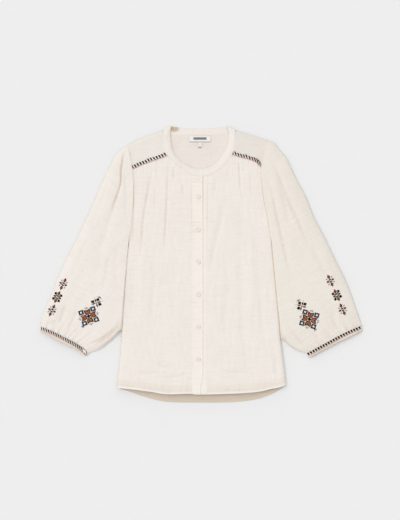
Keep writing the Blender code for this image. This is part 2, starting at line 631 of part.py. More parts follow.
def neckband():
    """One standing strip, pressed flat: from the placket's end, round the neck, and back."""
    front_share = NECK.share_where(0, PLACKET_RIGHT, 0.3, 0.7)
    under_share = NECK.share_where(0, BAND_LEFT, 0.3, 0.7)
    across = np.linspace(0.0, 1.0, 3)
    rulings = []
    outs = []

    def ruling(seam, free, z_seam, z_free, out, drawn_in=BAND_INSET):
        step = (free - seam) / np.linalg.norm(free - seam)
        seam = seam + step * drawn_in
        plan = seam[None, :] + (free - seam)[None, :] * across[:, None]
        z = z_seam + (z_free - z_seam) * across
        rulings.append(np.column_stack([plan, z]))
        outs.append(out)

    def corner(seam, free, z_top, sign):
        """The strip turns over the shoulder, from the upper layer to the lower."""
        line = (free - seam) / np.linalg.norm(free - seam)
        away = np.array([-line[1], line[0]]) * sign
        radius = z_top / 2.0
        turns = np.linspace(0.0, np.pi, 7)
        order = turns if sign > 0 else turns[::-1]
        for turn in order:
            bulge = away * radius * np.sin(turn)
            height = radius * (1.0 + np.cos(turn))
            out = np.append(away * np.sin(turn), np.cos(turn))
            ruling(seam + bulge, free + bulge, height, height, out, BAND_CORNER_INSET)

    def upper(share, rise):
        seam = NECK.at(share)
        free = NECK_FREE.at(share)
        ends = smooth(min(share, 1.0 - share) * NECK.length / 20.0)
        z = front_height(*seam) * ends + 2 * NECK_FOLD_RADIUS * (1.0 - ends) + rise
        ruling(seam, free, z, z + 0.3 * ends, np.array([0.0, 0.0, 1.0]))

    for share in np.linspace(front_share, 0.035, 20):
        upper(share, PLACKET_RISE * smooth((share - front_share + 0.08) / 0.08))
    corner(NECK.at(0.0), NECK_FREE.at(0.0), 2 * NECK_FOLD_RADIUS, 1)
    for share in np.linspace(0.05, 0.95, 15):
        seam = BACK_NECK.at(share)
        free = BACK_NECK_FREE.at(share)
        ruling(seam, free, 0.0, 0.0, np.array([0.0, 0.0, -1.0]))
    corner(NECK.at(1.0), NECK_FREE.at(1.0), 2 * NECK_FOLD_RADIUS, -1)
    for share in np.linspace(0.965, front_share + 0.012, 19):
        low = smooth((front_share + 0.06 - share) / 0.04)
        upper(share, -BAND_DROP * low)
    for share in np.linspace(front_share - 0.006, under_share, 4):
        upper(share, -BAND_DROP)
    grid = np.array(rulings)
    normals = np.array(outs)[:, None, :] * np.ones((1, len(across), 1))
    wall("neckband", grid, grid - normals * WALL, CLOTH)


class Sleeve:
    """One balloon sleeve as rings: along from the armhole to the cuff, round the arm."""

    def __init__(self, side, outer, inner, cuff_seam, cuff_edge, folds):
        self.side = side
        self.outer = Curve(outer)
        self.inner = Curve(inner)
        self.cuff_seam = Curve(cuff_seam)
        self.cuff_edge = Curve(cuff_edge)
        self.folds = folds

    def plan(self, s, across):
        return patch(self.side.armhole.at, self.cuff_seam.at, self.outer.at, self.inner.at,
                     s, across)

    def upper_z(self, plan, s, across):
        """Height of the top layer, with its folds and gathers."""
        heights = np.array(SLEEVE_HEIGHT)
        rounds = np.array(SLEEVE_ROUND)
        high = np.interp(s, heights[:, 0], heights[:, 1])[:, None]
        reach_full = np.interp(s, rounds[:, 0], rounds[:, 1])[:, None]
        width = np.linalg.norm(plan[:, :1] - plan[:, -1:], axis=-1)
        reach = np.minimum(across, 1.0 - across)[None, :] * width
        from_cuff = np.linalg.norm(plan - plan[-1:], axis=-1)
        from_arm = np.linalg.norm(plan - plan[:1], axis=-1)
        count, depth, halving = CUFF_GATHERS
        waves = gather_wave((across - 0.04) / 0.92, count, 1.9)[None, :]
        high = high - depth * waves * 0.5 ** (from_cuff / halving)
        count, depth, halving = CAP_GATHERS
        waves = gather_wave((across - 0.05) / 0.5, count, 3.1)[None, :]
        high = high - depth * waves * 0.5 ** (from_arm / halving)
        high = high - fold_depth(plan, self.folds)
        return EDGE_LOW + (high - EDGE_LOW) * rounded(reach / reach_full)


def ring_shares(top_columns, bottom_columns):
    """Shares across the top from the outer to the inner edge, then back underneath."""
    edge = np.array([0.0, 0.008, 0.03])
    top = np.concatenate([edge, np.linspace(0.065, 0.935, top_columns - 6), 1.0 - edge[::-1]])
    under_edge = np.array([0.006, 0.025, 0.06])
    inside = np.linspace(0.14, 0.86, bottom_columns - 6)
    under = np.concatenate([under_edge, inside, 1.0 - under_edge[::-1]])
    return top, under[::-1]


def ring_grid(plan_top, top_z, plan_under, under_share):
    """Joins the top and the underside of a tube into rings."""
    width = np.linalg.norm(plan_top[:, :1] - plan_top[:, -1:], axis=-1)
    reach = np.minimum(under_share, 1.0 - under_share)[None, :] * width
    z = EDGE_LOW * (1.0 - rounded(reach / EDGE_ROUND_BACK))
    return np.concatenate([with_height(plan_top, top_z), with_height(plan_under, z)], axis=1)


def ring_normals(grid, end_runs):
    """Outward normals of a tube, level at its two ends and flat under its underside."""
    normals = surface_normals(grid, closed=True)
    centre = grid.mean(axis=1, keepdims=True)
    outward = np.sum(normals * (grid - centre), axis=-1)
    if np.sum(outward) < 0:
        normals = -normals
    flat = grid[..., 2] < 1e-6
    normals[flat] = np.array([0.0, 0.0, -1.0])
    for row, run in end_runs:
        normals[row] = level_out(normals[row], run)
    return normals


def sleeve(made):
    top, under = ring_shares(44, 14)
    s = np.array([0.0, 0.02, 0.07, 0.15, 0.25, 0.36, 0.48, 0.6, 0.71, 0.81, 0.89, 0.95, 1.0])
    plan_top = made.plan(s, top)
    plan_under = made.plan(s, under)
    z = made.upper_z(plan_top, s, top)
    both = np.concatenate([plan_top, plan_under], axis=1)
    ends = (both[1] - both[0], both[-2] - both[-1])
    for row, run in ((0, ends[0]), (-1, ends[1])):
        step = run / np.linalg.norm(run, axis=-1, keepdims=True) * SEAM_GAP / 2
        plan_top[row] += step[:len(top)]
        plan_under[row] += step[len(top):]
    grid = ring_grid(plan_top, z, plan_under, under)
    normals = ring_normals(grid, [(0, ends[0]), (-1, ends[1])])
    wall("sleeve_" + made.side.name, grid, grid - normals * WALL, CLOTH, closed=True)


def cuff_plan(made, s, across):
    seam = made.cuff_seam.at(across)
    edge = made.cuff_edge.at(across)
    return seam[None] + (edge - seam)[None] * s[:, None, None]


def cuff_z(plan, across):
    width = np.linalg.norm(plan[:, :1] - plan[:, -1:], axis=-1)
    reach = np.minimum(across, 1.0 - across)[None, :] * width
    return EDGE_LOW + (CUFF_HEIGHT - EDGE_LOW) * rounded(reach / CUFF_ROUND)


def cuff(made):
    """A narrow band that the sleeve's lower edge is gathered into."""
    top, under = ring_shares(22, 12)
    s = np.array([0.0, 0.5, 1.0])
    plan_top = cuff_plan(made, s, top)
    plan_under = cuff_plan(made, s, under)
    both = np.concatenate([plan_top, plan_under], axis=1)
    run = both[1] - both[0]
    step = run / np.linalg.norm(run, axis=-1, keepdims=True) * SEAM_GAP / 2
    plan_top[0] += step[:len(top)]
    plan_under[0] += step[len(top):]
    grid = ring_grid(plan_top, cuff_z(plan_top, top), plan_under, under)
    normals = ring_normals(grid, [(0, run), (-1, run)])
    wall("cuff_" + made.side.name, grid, grid - normals * WALL, CLOTH, closed=True)


def cuff_trim(made):
    """The woven trim along the top of the cuff, made from the cuff's points moved out."""
    across = np.linspace(0.012, 0.988, 23)
    tall = np.linalg.norm(made.cuff_seam.at(0.5) - made.cuff_edge.at(0.5))
    s = np.array([0.06, 0.4, min(0.94, TRIM_WIDTH / tall)])
    plan = cuff_plan(made, s, across)
    whole_rows = cuff_plan(made, s, np.array([0.0, 1.0]))
    base = with_height(plan, cuff_z(whole_rows, across))
    normals = surface_normals(base) * -made.side.sign
    normals = np.where(normals[..., 2:] < 0, -normals, normals)
    normals = level_out(normals, np.broadcast_to(plan[2] - plan[0], plan.shape))
    bottom = base + normals * CUFF_TRIM_CLEARANCE
    wall("cuff_trim_" + made.side.name, bottom + normals * TRIM_THICK, bottom, TRIM)


def plate(name, place, base_z, finish):
    """A small flat piece of woven label."""
    x_from, x_to, y_from, y_to = place
    x = np.linspace(x_from, x_to, 2)
    y = np.linspace(y_to, y_from, 2)
    plan = np.stack(np.meshgrid(x, y), axis=-1)
    low = with_height(plan, np.full((2, 2), base_z))
    high = low + np.array([0.0, 0.0, LABEL_THICK])
    wall(name, high, low, finish)


def button(number):
    """A small round button with a raised rim and a shallow dish, turned from its profile."""
    y = BUTTON_TOP_Y - BUTTON_PITCH * (number - 1)
    base = front_height(BUTTON_X, y) + PLACKET_RISE + LAYER_GAP
    # radius, height
    profile = [(0.0, 0.0), (BUTTON_RADIUS * 0.82, 0.0), (BUTTON_RADIUS, BUTTON_THICK * 0.4),
               (BUTTON_RADIUS * 0.9, BUTTON_THICK), (BUTTON_RADIUS * 0.68, BUTTON_THICK * 0.92),
               (BUTTON_RADIUS * 0.55, BUTTON_THICK * 0.68), (0.0, BUTTON_THICK * 0.68)]
    turns = 18
    mesh = bmesh.new()
    centre = np.array([BUTTON_X + CENTRE_SHIFT[0], y + CENTRE_SHIFT[1], base])
    rings = []
    for radius, height in profile[1:-1]:
        ring = []
        for i in range(turns):
            angle = 2 * np.pi * i / turns
            offset = np.array([radius * np.cos(angle), radius * np.sin(angle), height])
            ring.append(mesh.verts.new((centre + offset) * MM))
        rings.append(ring)
    low = mesh.verts.new((centre + np.array([0.0, 0.0, profile[0][1]])) * MM)
    high = mesh.verts.new((centre + np.array([0.0, 0.0, profile[-1][1]])) * MM)
    for i in range(turns):
        j = (i + 1) % turns
        mesh.faces.new([low, rings[0][j], rings[0][i]])
        mesh.faces.new([high, rings[-1][i], rings[-1][j]])
        for lower, upper in zip(rings, rings[1:]):
            mesh.faces.new([lower[i], lower[j], upper[j], upper[i]])
    bmesh.ops.recalc_face_normals(mesh, faces=mesh.faces)
    finish_object("button_" + str(number), mesh, SHELL)


def build():
    blank_scene()
    front_rows = np.array([0.0, 0.02, 0.055, 0.1, 0.16, 0.23, 0.31, 0.38, 0.47, 0.58, 0.7, 0.82,
                           0.92, 0.97, 1.0])
    back_panel()
    front_panel(RIGHT, PLACKET_LEFT - LAYER_GAP, 46, front_rows)
    front_panel(LEFT, BAND_RIGHT + LAYER_GAP, 46, front_rows)
    centre_strip("button_band_left", BAND_LEFT, BAND_RIGHT, BAND_DROP, 0.0, 22)
    centre_strip("placket_right", PLACKET_LEFT, PLACKET_RIGHT, -PLACKET_RISE, PLACKET_SLANT, 22)
    for side in (RIGHT, LEFT):
        yoke(side)
        yoke_trim(side)
    neckband()
    sleeves = (
        Sleeve(RIGHT, RIGHT_SLEEVE_OUTER, RIGHT_SLEEVE_INNER, RIGHT_CUFF_SEAM, RIGHT_CUFF_EDGE,
               RIGHT_SLEEVE_FOLDS),
        Sleeve(LEFT, LEFT_SLEEVE_OUTER, LEFT_SLEEVE_INNER, LEFT_CUFF_SEAM, LEFT_CUFF_EDGE,
               LEFT_SLEEVE_FOLDS),
    )
    for made in sleeves:
        sleeve(made)
        cuff(made)
        cuff_trim(made)
    plate("label", LABEL, WALL + LAYER_GAP, LABEL_CLOTH)
    plate("size_tab", SIZE_TAB, WALL + LAYER_GAP, LABEL_CLOTH)
    for number in range(1, BUTTON_COUNT + 1):
        button(number)


build()
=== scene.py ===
import math

import bpy
import numpy as np
from mathutils import Matrix, Vector
from mathutils.bvhtree import BVHTree


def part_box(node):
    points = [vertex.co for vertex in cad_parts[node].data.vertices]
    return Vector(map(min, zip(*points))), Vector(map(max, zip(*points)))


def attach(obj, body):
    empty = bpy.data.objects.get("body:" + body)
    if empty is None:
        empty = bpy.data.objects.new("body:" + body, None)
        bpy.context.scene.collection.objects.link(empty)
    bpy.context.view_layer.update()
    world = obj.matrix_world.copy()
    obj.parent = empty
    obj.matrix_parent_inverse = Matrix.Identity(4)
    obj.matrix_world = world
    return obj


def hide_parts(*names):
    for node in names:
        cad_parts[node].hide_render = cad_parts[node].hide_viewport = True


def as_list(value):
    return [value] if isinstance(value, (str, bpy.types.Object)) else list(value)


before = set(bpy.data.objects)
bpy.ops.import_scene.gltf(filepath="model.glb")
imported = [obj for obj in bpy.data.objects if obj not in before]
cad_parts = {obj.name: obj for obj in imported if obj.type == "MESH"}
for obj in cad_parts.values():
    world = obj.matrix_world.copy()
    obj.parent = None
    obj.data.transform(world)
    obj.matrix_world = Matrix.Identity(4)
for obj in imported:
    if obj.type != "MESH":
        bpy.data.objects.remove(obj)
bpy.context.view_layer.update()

# All tables are in millimetres. +X is the wearer's left, +Y is towards the neck and the table
# is at height 0. "right" and "left" in a name are the wearer's.
MM = 0.001
UP = np.array([0.0, 0.0, 1.0])
DOWN = np.array([0.0, 0.0, -1.0])
SHELL = 0.8                # cloth of the shells
SEAM_DRAW = -0.1           # the pieces meet in a seam and lap by a hair
INSET_EASE = 3.0           # how far in from a seam its gap still moves the cloth
BACK_INSET = 0.3           # how far the back keeps in from the armholes
TABLE_GAP = 0.05           # between the table and what lies on it
EDGE_LOW = 2.35            # height of the side edges of the back and the sleeves
EDGE_HIGH = 2.55           # and of the fronts
EDGE_ROUND_BACK = 6.0      # how far in from an edge the cloth still rounds over
EDGE_ROUND_FRONT = 8.0
BESIDE_RAISE = 6.6         # how much higher side edges lie where a sleeve lies against them
ARM_ROUND = 24.0           # how far from an armhole's ends its seam still rises
ARM_HEIGHT = 10.2          # height of the armhole between them
TRIM_WIDTH = 11.0          # of the yoke trims
CUFF_TRIM_WIDTH = 10.4
PLACKET_LEFT = -22.0       # x of the strips' edges
PLACKET_RIGHT = 4.9
PLACKET_RISE = 0.55        # of the placket over the fronts' cloth
BAND_LEFT = -13.0
BAND_RIGHT = 13.7
BAND_DROP = 0.5            # of the button band under it
STRIP_LAP = 0.2            # how far both strips lap over the fronts' edges
BUTTON_X = -6.4
BUTTON_TOP_Y = 163.0
BUTTON_PITCH = 79.6
BUTTON_COUNT = 6
LABEL = (-28.5, 23.5, 297.8, 312.4)       # lowest and highest x, lowest and highest y
LABEL_BAR_PLACE = (-18.6, 13.6, 303.6, 309.6)
LABEL_HEM_SHADOW_PLACE = (-28.0, 23.0, 298.2, 299.4)
LABEL_WAVE = (0.15, 0.4)   # height and phase
SIZE_TAB = (-8.0, 2.6, 283.0, 297.4)
TAB_BAR_PLACE = (-6.2, 0.8, 284.0, 286.2)
TAB_WAVE = (0.1, 1.4)
NECKBAND_WIDTH = 18.0
NECK_FOLD_RADIUS = 2.6     # where the neckband turns over at the shoulders
NECK_FALL = 4.2            # how far the neckband's free edge slopes down over the opening
BACK_RISE = 3.0            # how far the back comes up to meet it
SIDE_GAP = 0.12            # left where the soft sleeve closes in on the body
SEAM_PAINTED_SHADE = {1.0: 0.45, -1.0: 0.22}  # painted shade along the seams beside the sleeves, by side
HEM_DEPTH = 9.0
HEM_INDENT = 1.2           # of the hem's stitches from the edge of the turned-up cloth
CREASES = (208.5, 199.6, 101.0, 93.0, 84.0, 78.0)    # stitched creases across the placket, y
TOPSTITCH = (2.3, 3.0)     # length and pitch
TOPSTITCH_THREAD = (0.0005, 0.00035)      # width and height in metres
FLOSS = (0.001, 0.0006)    # the same for the embroidery
RIBBON_LIFT = 0.3          # of a trim's ribbon over the cloth
RIBBON_THICK = 0.5
BAR_THREADS = 8            # threads in one repeat of a trim's bars
SHARP_ANGLE = math.radians(50)
FOLD_STEPS = 60            # places along a fold's trough
RIPPLE_WAVES = 14          # waves added up in a ripple
WEAVE_PITCH = 0.0011       # two threads of the gauze, in metres, and of the ribbons
RIBBON_PITCH = 0.0009

# Height of the fronts over the table by y, and how much of it is lost 200 mm off the middle
SIDE_FALL = 0.18
MIDDLE_HEIGHT = [
    (-330.0, 15.5), (-300.0, 14.6), (-250.0, 13.2), (-100.0, 11.6), (100.0, 11.0),
    (215.0, 9.6), (250.0, 8.9), (290.0, 7.8), (332.0, 6.6),
]

# Outlines, x and y of points along each curve
RIGHT_SHOULDER = [(-180.1, 287.9), (-156.8, 302.8), (-123.0, 315.3), (-93.1, 325.3)]
LEFT_SHOULDER = [(164.2, 301.4), (146.0, 307.5), (114.9, 317.8), (84.5, 325.3)]
RIGHT_ARMHOLE = [
    (-180.1, 287.9), (-176.4, 273.2), (-172.0, 248.7), (-166.8, 225.0), (-165.4, 192.3),
    (-166.8, 143.3), (-171.0, 94.3), (-175.2, 62.5),
]
LEFT_ARMHOLE = [
    (164.2, 301.4), (157.5, 287.9), (150.7, 268.3), (147.0, 240.0), (146.5, 214.4),
    (150.2, 177.6), (156.8, 140.0), (164.2, 105.0), (171.5, 62.5),
]
RIGHT_SIDE = [
    (-175.2, 62.5), (-181.3, 8.6), (-188.7, -89.4), (-193.6, -162.9), (-198.5, -236.4),
    (-205.8, -305.0),
]
LEFT_SIDE = [
    (171.5, 62.5), (175.6, 20.0), (185.0, -79.6), (190.6, -136.0), (194.6, -180.0),
    (200.9, -229.1), (208.3, -296.5),
]
RIGHT_YOKE_SEAM = [
    (-167.9, 230.0), (-147.0, 240.0), (-122.9, 248.5), (-103.3, 255.8), (-80.6, 263.6),
]
LEFT_YOKE_SEAM = [
    (146.7, 232.6), (139.6, 242.0), (128.4, 250.4), (106.3, 256.9), (74.6, 265.6),
]
NECK_SEAM = [
    (-93.1, 325.3), (-94.3, 302.6), (-92.4, 281.0), (-78.6, 260.9), (-53.9, 238.9),
    (-22.0, 217.4), (-2.5, 213.6), (21.3, 216.8), (52.4, 236.4), (74.5, 265.8),
    (83.8, 297.9), (84.5, 325.3),
]
NECK_FREE_EDGE = [
    (-73.8, 336.2), (-75.3, 318.0), (-74.0, 295.2), (-70.4, 279.0), (-60.0, 260.9),
    (-35.0, 241.8), (-0.5, 230.8), (33.8, 244.8), (52.4, 266.8), (65.2, 291.8),
    (68.1, 313.6), (65.8, 335.6),
]
BACK_NECK_SEAM = [
    (-93.1, 325.3), (-76.0, 318.4), (-59.5, 314.0), (-23.5, 315.2), (0.0, 314.6),
    (33.0, 316.0), (62.0, 319.0), (84.5, 325.3),
]
BACK_NECK_FREE_EDGE = [
    (-73.8, 336.2), (-58.0, 334.2), (-37.7, 331.4), (-10.0, 330.4), (17.0, 331.0),
    (39.0, 332.4), (55.0, 334.4), (65.8, 335.6),
]
FRONT_HEM = [
    (-205.8, -305.0), (-173.9, -307.5), (-125.0, -313.6), (-85.8, -319.7), (-29.4, -318.5),
    (0.0, -320.5), (71.0, -318.5), (120.0, -316.0), (149.0, -312.4), (169.0, -307.5),
    (193.6, -302.6), (208.3, -296.5),
]
BACK_HEM = [
    (-205.8, -305.0), (-183.1, -312.2), (-149.5, -323.8), (-125.0, -331.0), (-100.5, -336.8),
    (-76.0, -340.0), (-30.0, -341.2), (46.0, -341.2), (84.0, -339.8), (114.0, -336.8),
    (144.6, -331.0), (172.0, -321.0), (195.0, -308.6), (208.3, -296.5),
]
RIGHT_SLEEVE_OUTER = [
    (-180.1, 287.9), (-198.5, 278.1), (-208.3, 268.3), (-218.1, 248.7), (-237.7, 209.5),
    (-262.2, 150.7), (-289.1, 91.9), (-318.5, 33.1), (-346.7, -25.7), (-370.0, -84.5),
    (-388.0, -128.0), (-393.6, -152.0),
]
LEFT_SLEEVE_OUTER = [
    (164.2, 301.4), (178.9, 296.4), (191.1, 280.4), (210.7, 257.2), (232.8, 209.5),
    (257.3, 162.9), (276.9, 113.9), (303.8, 62.5), (328.3, 11.0), (352.8, -38.0),
    (370.0, -82.1), (387.1, -131.1), (393.4, -149.5),
]
RIGHT_SLEEVE_INNER = [
    (-175.2, 62.5), (-181.0, 30.0), (-187.3, -40.0), (-193.2, -120.0), (-195.9, -150.0),
    (-203.4, -169.0), (-223.0, -190.5), (-247.5, -209.0), (-275.5, -219.5),
]
LEFT_SLEEVE_INNER = [
    (171.5, 62.5), (177.8, 15.0), (187.1, -79.6), (193.6, -143.3), (197.9, -178.0),
    (210.7, -195.0), (223.0, -205.5), (240.1, -215.6), (257.4, -218.6),
]
RIGHT_CUFF_SEAM = [
    (-393.6, -152.0), (-363.2, -164.2), (-340.3, -175.4), (-317.3, -187.0), (-302.0, -195.6),
    (-286.6, -207.0), (-275.5, -219.5),
]
LEFT_CUFF_SEAM = [(393.4, -149.5), (350.0, -168.4), (305.0, -192.6), (257.4, -218.6)]
RIGHT_CUFF_EDGE = [
    (-395.0, -164.4), (-378.5, -173.0), (-357.0, -185.0), (-341.0, -194.0), (-323.4, -201.4),
    (-305.0, -210.2), (-294.3, -217.0), (-281.0, -227.4),
]
LEFT_CUFF_EDGE = [
    (396.0, -163.5), (359.7, -181.8), (338.1, -191.6), (318.5, -201.6), (292.5, -215.2),
    (264.0, -231.0),
]

# Height of a sleeve and reach of its rounding, by the share from armhole to cuff
SLEEVE_HEIGHT = [(0.0, 10.2), (0.1, 12.0), (0.35, 14.0), (0.8, 17.0), (0.93, 13.5), (1.0, 9.6)]
SLEEVE_ROUND = [(0.0, 24.0), (0.15, 34.0), (0.8, 44.0), (1.0, 20.0)]
CUFF_HEIGHT = 9.4
CUFF_ROUND = 18.0

# Folds: depth, half width, then x and y of points along the trough. A ridge has a
# negative depth.
RIGHT_FRONT_FOLDS = [
    (2.5, 3.6, [(-117.8, 243.0), (-128.0, 188.0), (-141.0, 110.0), (-149.0, 9.0)]),
    (2.2, 3.4, [(-81.0, 257.0), (-82.6, 190.0), (-87.0, 90.0), (-93.0, 10.0)]),
    (1.1, 3.0, [(-112.5, 190.0), (-115.0, 134.0)]),
    (1.2, 3.0, [(-65.5, 240.0), (-67.0, 200.0)]),
    (1.0, 3.0, [(-45.6, 204.0), (-44.0, 158.0)]),
    (1.4, 3.2, [(-163.0, 186.0), (-166.0, 100.0), (-168.0, 40.0)]),
    (1.3, 8.0, [(-160.0, 30.0), (-168.0, -60.0), (-172.0, -120.0)]),
    (-1.2, 7.0, [(-136.0, 60.0), (-146.0, -60.0), (-150.0, -170.0)]),
    (1.6, 8.0, [(-112.0, 30.0), (-117.0, -60.0), (-126.0, -170.0)]),
    (0.9, 9.0, [(-60.0, 60.0), (-66.0, -60.0), (-74.0, -180.0)]),
    (1.3, 3.4, [(-95.0, -281.0), (-62.0, -276.0), (-26.0, -266.0)]),
    (1.0, 4.0, [(-160.0, -262.0), (-130.0, -268.0), (-98.0, -262.0)]),
    (0.9, 4.0, [(-120.0, -240.0), (-90.0, -252.0), (-52.0, -246.0)]),
]
LEFT_FRONT_FOLDS = [
    (2.2, 7.0, [(58.0, 156.0), (44.0, 92.0), (30.0, 30.0), (20.0, -40.0)]),
    (1.5, 3.0, [(92.0, 256.0), (94.6, 215.0), (96.0, 170.0)]),
    (1.2, 12.0, [(100.0, 160.0), (98.0, 110.0), (96.0, 70.0)]),
    (2.0, 9.0, [(92.0, 70.0), (97.0, -20.0), (102.0, -150.7), (113.2, -255.0)]),
    (1.2, 7.0, [(137.0, 60.0), (143.0, -60.0), (160.0, -255.0)]),
    (-1.0, 8.0, [(120.0, 120.0), (122.0, 0.0), (130.0, -150.0)]),
    (1.0, 4.0, [(36.0, 214.0), (34.0, 172.0)]),
    (0.9, 3.0, [(120.0, 238.0), (122.0, 150.0)]),
    (0.9, 8.0, [(64.0, 20.0), (62.0, -90.0), (56.0, -190.0)]),
    (1.0, 4.0, [(40.0, -258.0), (84.0, -266.0), (130.0, -262.0)]),
    (1.0, 6.0, [(172.0, -190.0), (184.0, -260.0), (190.0, -290.0)]),
]
RIGHT_SLEEVE_FOLDS = [
    (3.2, 2.6, [(-174.0, 296.0), (-183.5, 276.4), (-190.1, 265.1), (-193.1, 246.3),
                (-195.8, 227.6), (-196.7, 197.7), (-204.1, 171.3), (-213.6, 143.4),
                (-222.0, 108.0)]),
    (2.2, 8.0, [(-200.0, 215.0), (-207.0, 165.0), (-226.0, 100.0), (-246.0, 20.0)]),
    (1.6, 10.0, [(-236.0, 110.0), (-244.0, 50.0), (-256.0, -30.0)]),
    (1.6, 6.0, [(-226.0, 20.0), (-232.0, -20.0), (-242.0, -70.0)]),
    (3.2, 3.4, [(-199.0, -132.0), (-206.0, -157.0), (-232.0, -182.0), (-268.0, -203.0)]),
    (2.6, 3.0, [(-209.0, -146.0), (-219.0, -165.0), (-252.0, -188.0), (-282.0, -198.0)]),
    (2.6, 5.0, [(-300.0, -110.0), (-314.0, -140.0), (-330.0, -170.0)]),
    (2.2, 4.5, [(-328.0, -96.0), (-338.0, -122.0), (-348.0, -155.0)]),
    (1.5, 4.0, [(-352.0, -140.0), (-366.0, -146.0), (-378.0, -146.0)]),
    (1.3, 5.0, [(-190.0, 240.0), (-184.0, 180.0), (-186.0, 110.0)]),
    (1.4, 7.0, [(-222.0, 216.0), (-250.0, 140.0), (-282.0, 70.0)]),
    (1.3, 8.0, [(-280.0, 60.0), (-304.0, 0.0), (-320.0, -50.0)]),
    (1.0, 7.0, [(-206.0, 60.0), (-208.0, 0.0), (-206.0, -70.0)]),
]
LEFT_SLEEVE_FOLDS = [
    (2.4, 7.0, [(172.0, 292.0), (188.0, 268.0), (203.0, 240.0)]),
    (3.2, 5.6, [(170.0, 262.0), (190.0, 214.0), (212.0, 160.0), (238.0, 104.0),
                (268.0, 30.0)]),
    (2.6, 5.0, [(158.0, 228.0), (172.0, 178.0), (190.0, 98.0), (207.0, 20.0),
                (224.0, -50.0)]),
    (1.8, 6.0, [(186.0, 206.0), (204.0, 150.0), (217.0, 82.0)]),
    (1.8, 7.0, [(268.0, 48.0), (292.0, 0.0), (314.0, -44.0)]),
    (1.3, 7.0, [(306.0, 30.0), (328.0, -30.0), (344.0, -64.0)]),
    (1.5, 4.5, [(220.0, -160.0), (238.0, -184.0), (256.0, -200.0)]),
    (1.5, 6.0, [(322.0, -110.0), (326.0, -134.0), (330.0, -160.0)]),
    (1.4, 6.0, [(276.0, -160.0), (282.0, -176.0), (286.0, -192.0)]),
    (1.2, 8.0, [(222.0, 216.0), (256.0, 140.0), (290.0, 70.0)]),
    (1.0, 9.0, [(196.0, -30.0), (200.0, -90.0), (206.0, -140.0)]),
]

# Seam and fold lines painted in tan shade on the cloth: strength, half width, points
RIGHT_FRONT_LINES = [
    (0.7, 1.3, [(-165.8, 222.0), (-164.8, 192.3), (-165.6, 150.0), (-168.0, 120.0)]),
    (0.18, 1.6, [(-176.0, 50.0), (-181.0, 0.0), (-188.0, -90.0), (-193.0, -150.0)]),
    (0.3, 1.6, [(-22.6, 214.0), (-22.6, 120.0), (-22.6, 60.0)]),
]
LEFT_FRONT_LINES = [
    (0.6, 1.3, [(147.2, 236.0), (147.0, 214.4), (150.8, 177.6), (157.4, 140.0),
                (164.8, 105.0), (172.0, 62.5)]),
    (0.6, 1.6, [(172.0, 66.0), (176.0, 20.0), (185.6, -79.6), (191.2, -136.0),
                (195.2, -180.0), (201.4, -229.1), (208.0, -290.0)]),
    (0.35, 1.4, [(14.6, 210.0), (14.6, 140.0), (14.6, 60.0)]),
]
RIGHT_SLEEVE_LINES = [
    (0.5, 1.3, [(-179.0, 284.0), (-183.5, 276.4), (-190.1, 265.1), (-193.1, 246.3),
                (-195.8, 227.6), (-196.7, 197.7), (-204.1, 171.3)]),
    (0.35, 1.6, [(-171.0, 246.0), (-167.4, 226.0), (-166.6, 200.0)]),
    (0.45, 2.6, [(-194.0, -136.0), (-201.0, -166.0), (-223.0, -188.0), (-262.0, -214.0)]),
]
LEFT_SLEEVE_LINES = [
    (0.3, 1.8, [(158.0, 284.0), (151.8, 268.3), (148.0, 240.0)]),
    (0.35, 2.4, [(195.0, -150.0), (202.0, -184.0), (223.0, -204.0), (250.0, -216.0)]),
]

# Middles of the motifs, x and y, and the directions of the charts on the cloth
STAR_RIGHT = (-274.4, -128.6)
STAR_LEFT = (264.8, -136.2)
SPRAYS_RIGHT = [(-337.1, -50.2), (-351.6, -82.1), (-364.6, -114.9)]
SPRAYS_LEFT = [(316.1, -41.9), (332.0, -77.4), (346.2, -112.2)]
ARM_TURN_RIGHT = math.radians(60.2)
ARM_TURN_LEFT = math.radians(120.0)
CROSS_TURN_RIGHT = math.radians(-24.0)     # of a chart's rows: the cloth lies skewed
CROSS_TURN_LEFT = math.radians(28.0)

VIEW_CENTRE = (-2.45, 8.6, 8.0)
VIEW_WIDE = 980.0
LENS = 135.0
SENSOR = 36.0
FLOOR_HALF = 3.0           # in metres
KEY_STRENGTH = 0.8
KEY_SPREAD = math.radians(30.0)
KEY_DIRECTION = (0.55, -0.28, -0.85)
SKY_STRENGTH = 0.875


# Curves and patches

class Curve:
    """A smooth plan curve through given points, read by the share of its length."""

    def __init__(self, points, steps=24):
        knots = np.array(points, float)
        padded = np.vstack([2 * knots[0] - knots[1], knots, 2 * knots[-1] - knots[-2]])
        u = np.linspace(0.0, 1.0, steps, endpoint=False)[:, None]
        runs = []
        for i in range(len(knots) - 1):
            a, b, c, d = padded[i:i + 4]
            cubic = (3 * b - a - 3 * c + d) * u ** 3
            square = (2 * a - 5 * b + 4 * c - d) * u ** 2
            runs.append(0.5 * (2 * b + (c - a) * u + square + cubic))
        self.line = np.vstack(runs + [knots[-1:]])
        hops = np.hypot(*np.diff(self.line, axis=0).T)
        self.along = np.concatenate([[0.0], np.cumsum(hops)])
        self.length = self.along[-1]

    def at(self, share):
        way = np.asarray(share, float) * self.length
        x = np.interp(way, self.along, self.line[:, 0])
        y = np.interp(way, self.along, self.line[:, 1])
        return np.stack([x, y], axis=-1)

    def share_where(self, axis, value, after=0.0, before=1.0):
        shares = np.linspace(after, before, 2001)
        return shares[np.argmin(np.abs(self.at(shares)[:, axis] - value))]

    def share_at_x(self, x):
        """The share where a curve across the blouse passes x, near its middle."""
        return self.share_where(0, x, 0.3, 0.7)

    def share_near(self, point):
        shares = np.linspace(0.0, 1.0, 2001)
        return shares[np.argmin(span(self.at(shares), point))]

    def part(self, start, end):
        return Curve(self.at(np.linspace(start, end, 40)), steps=4)


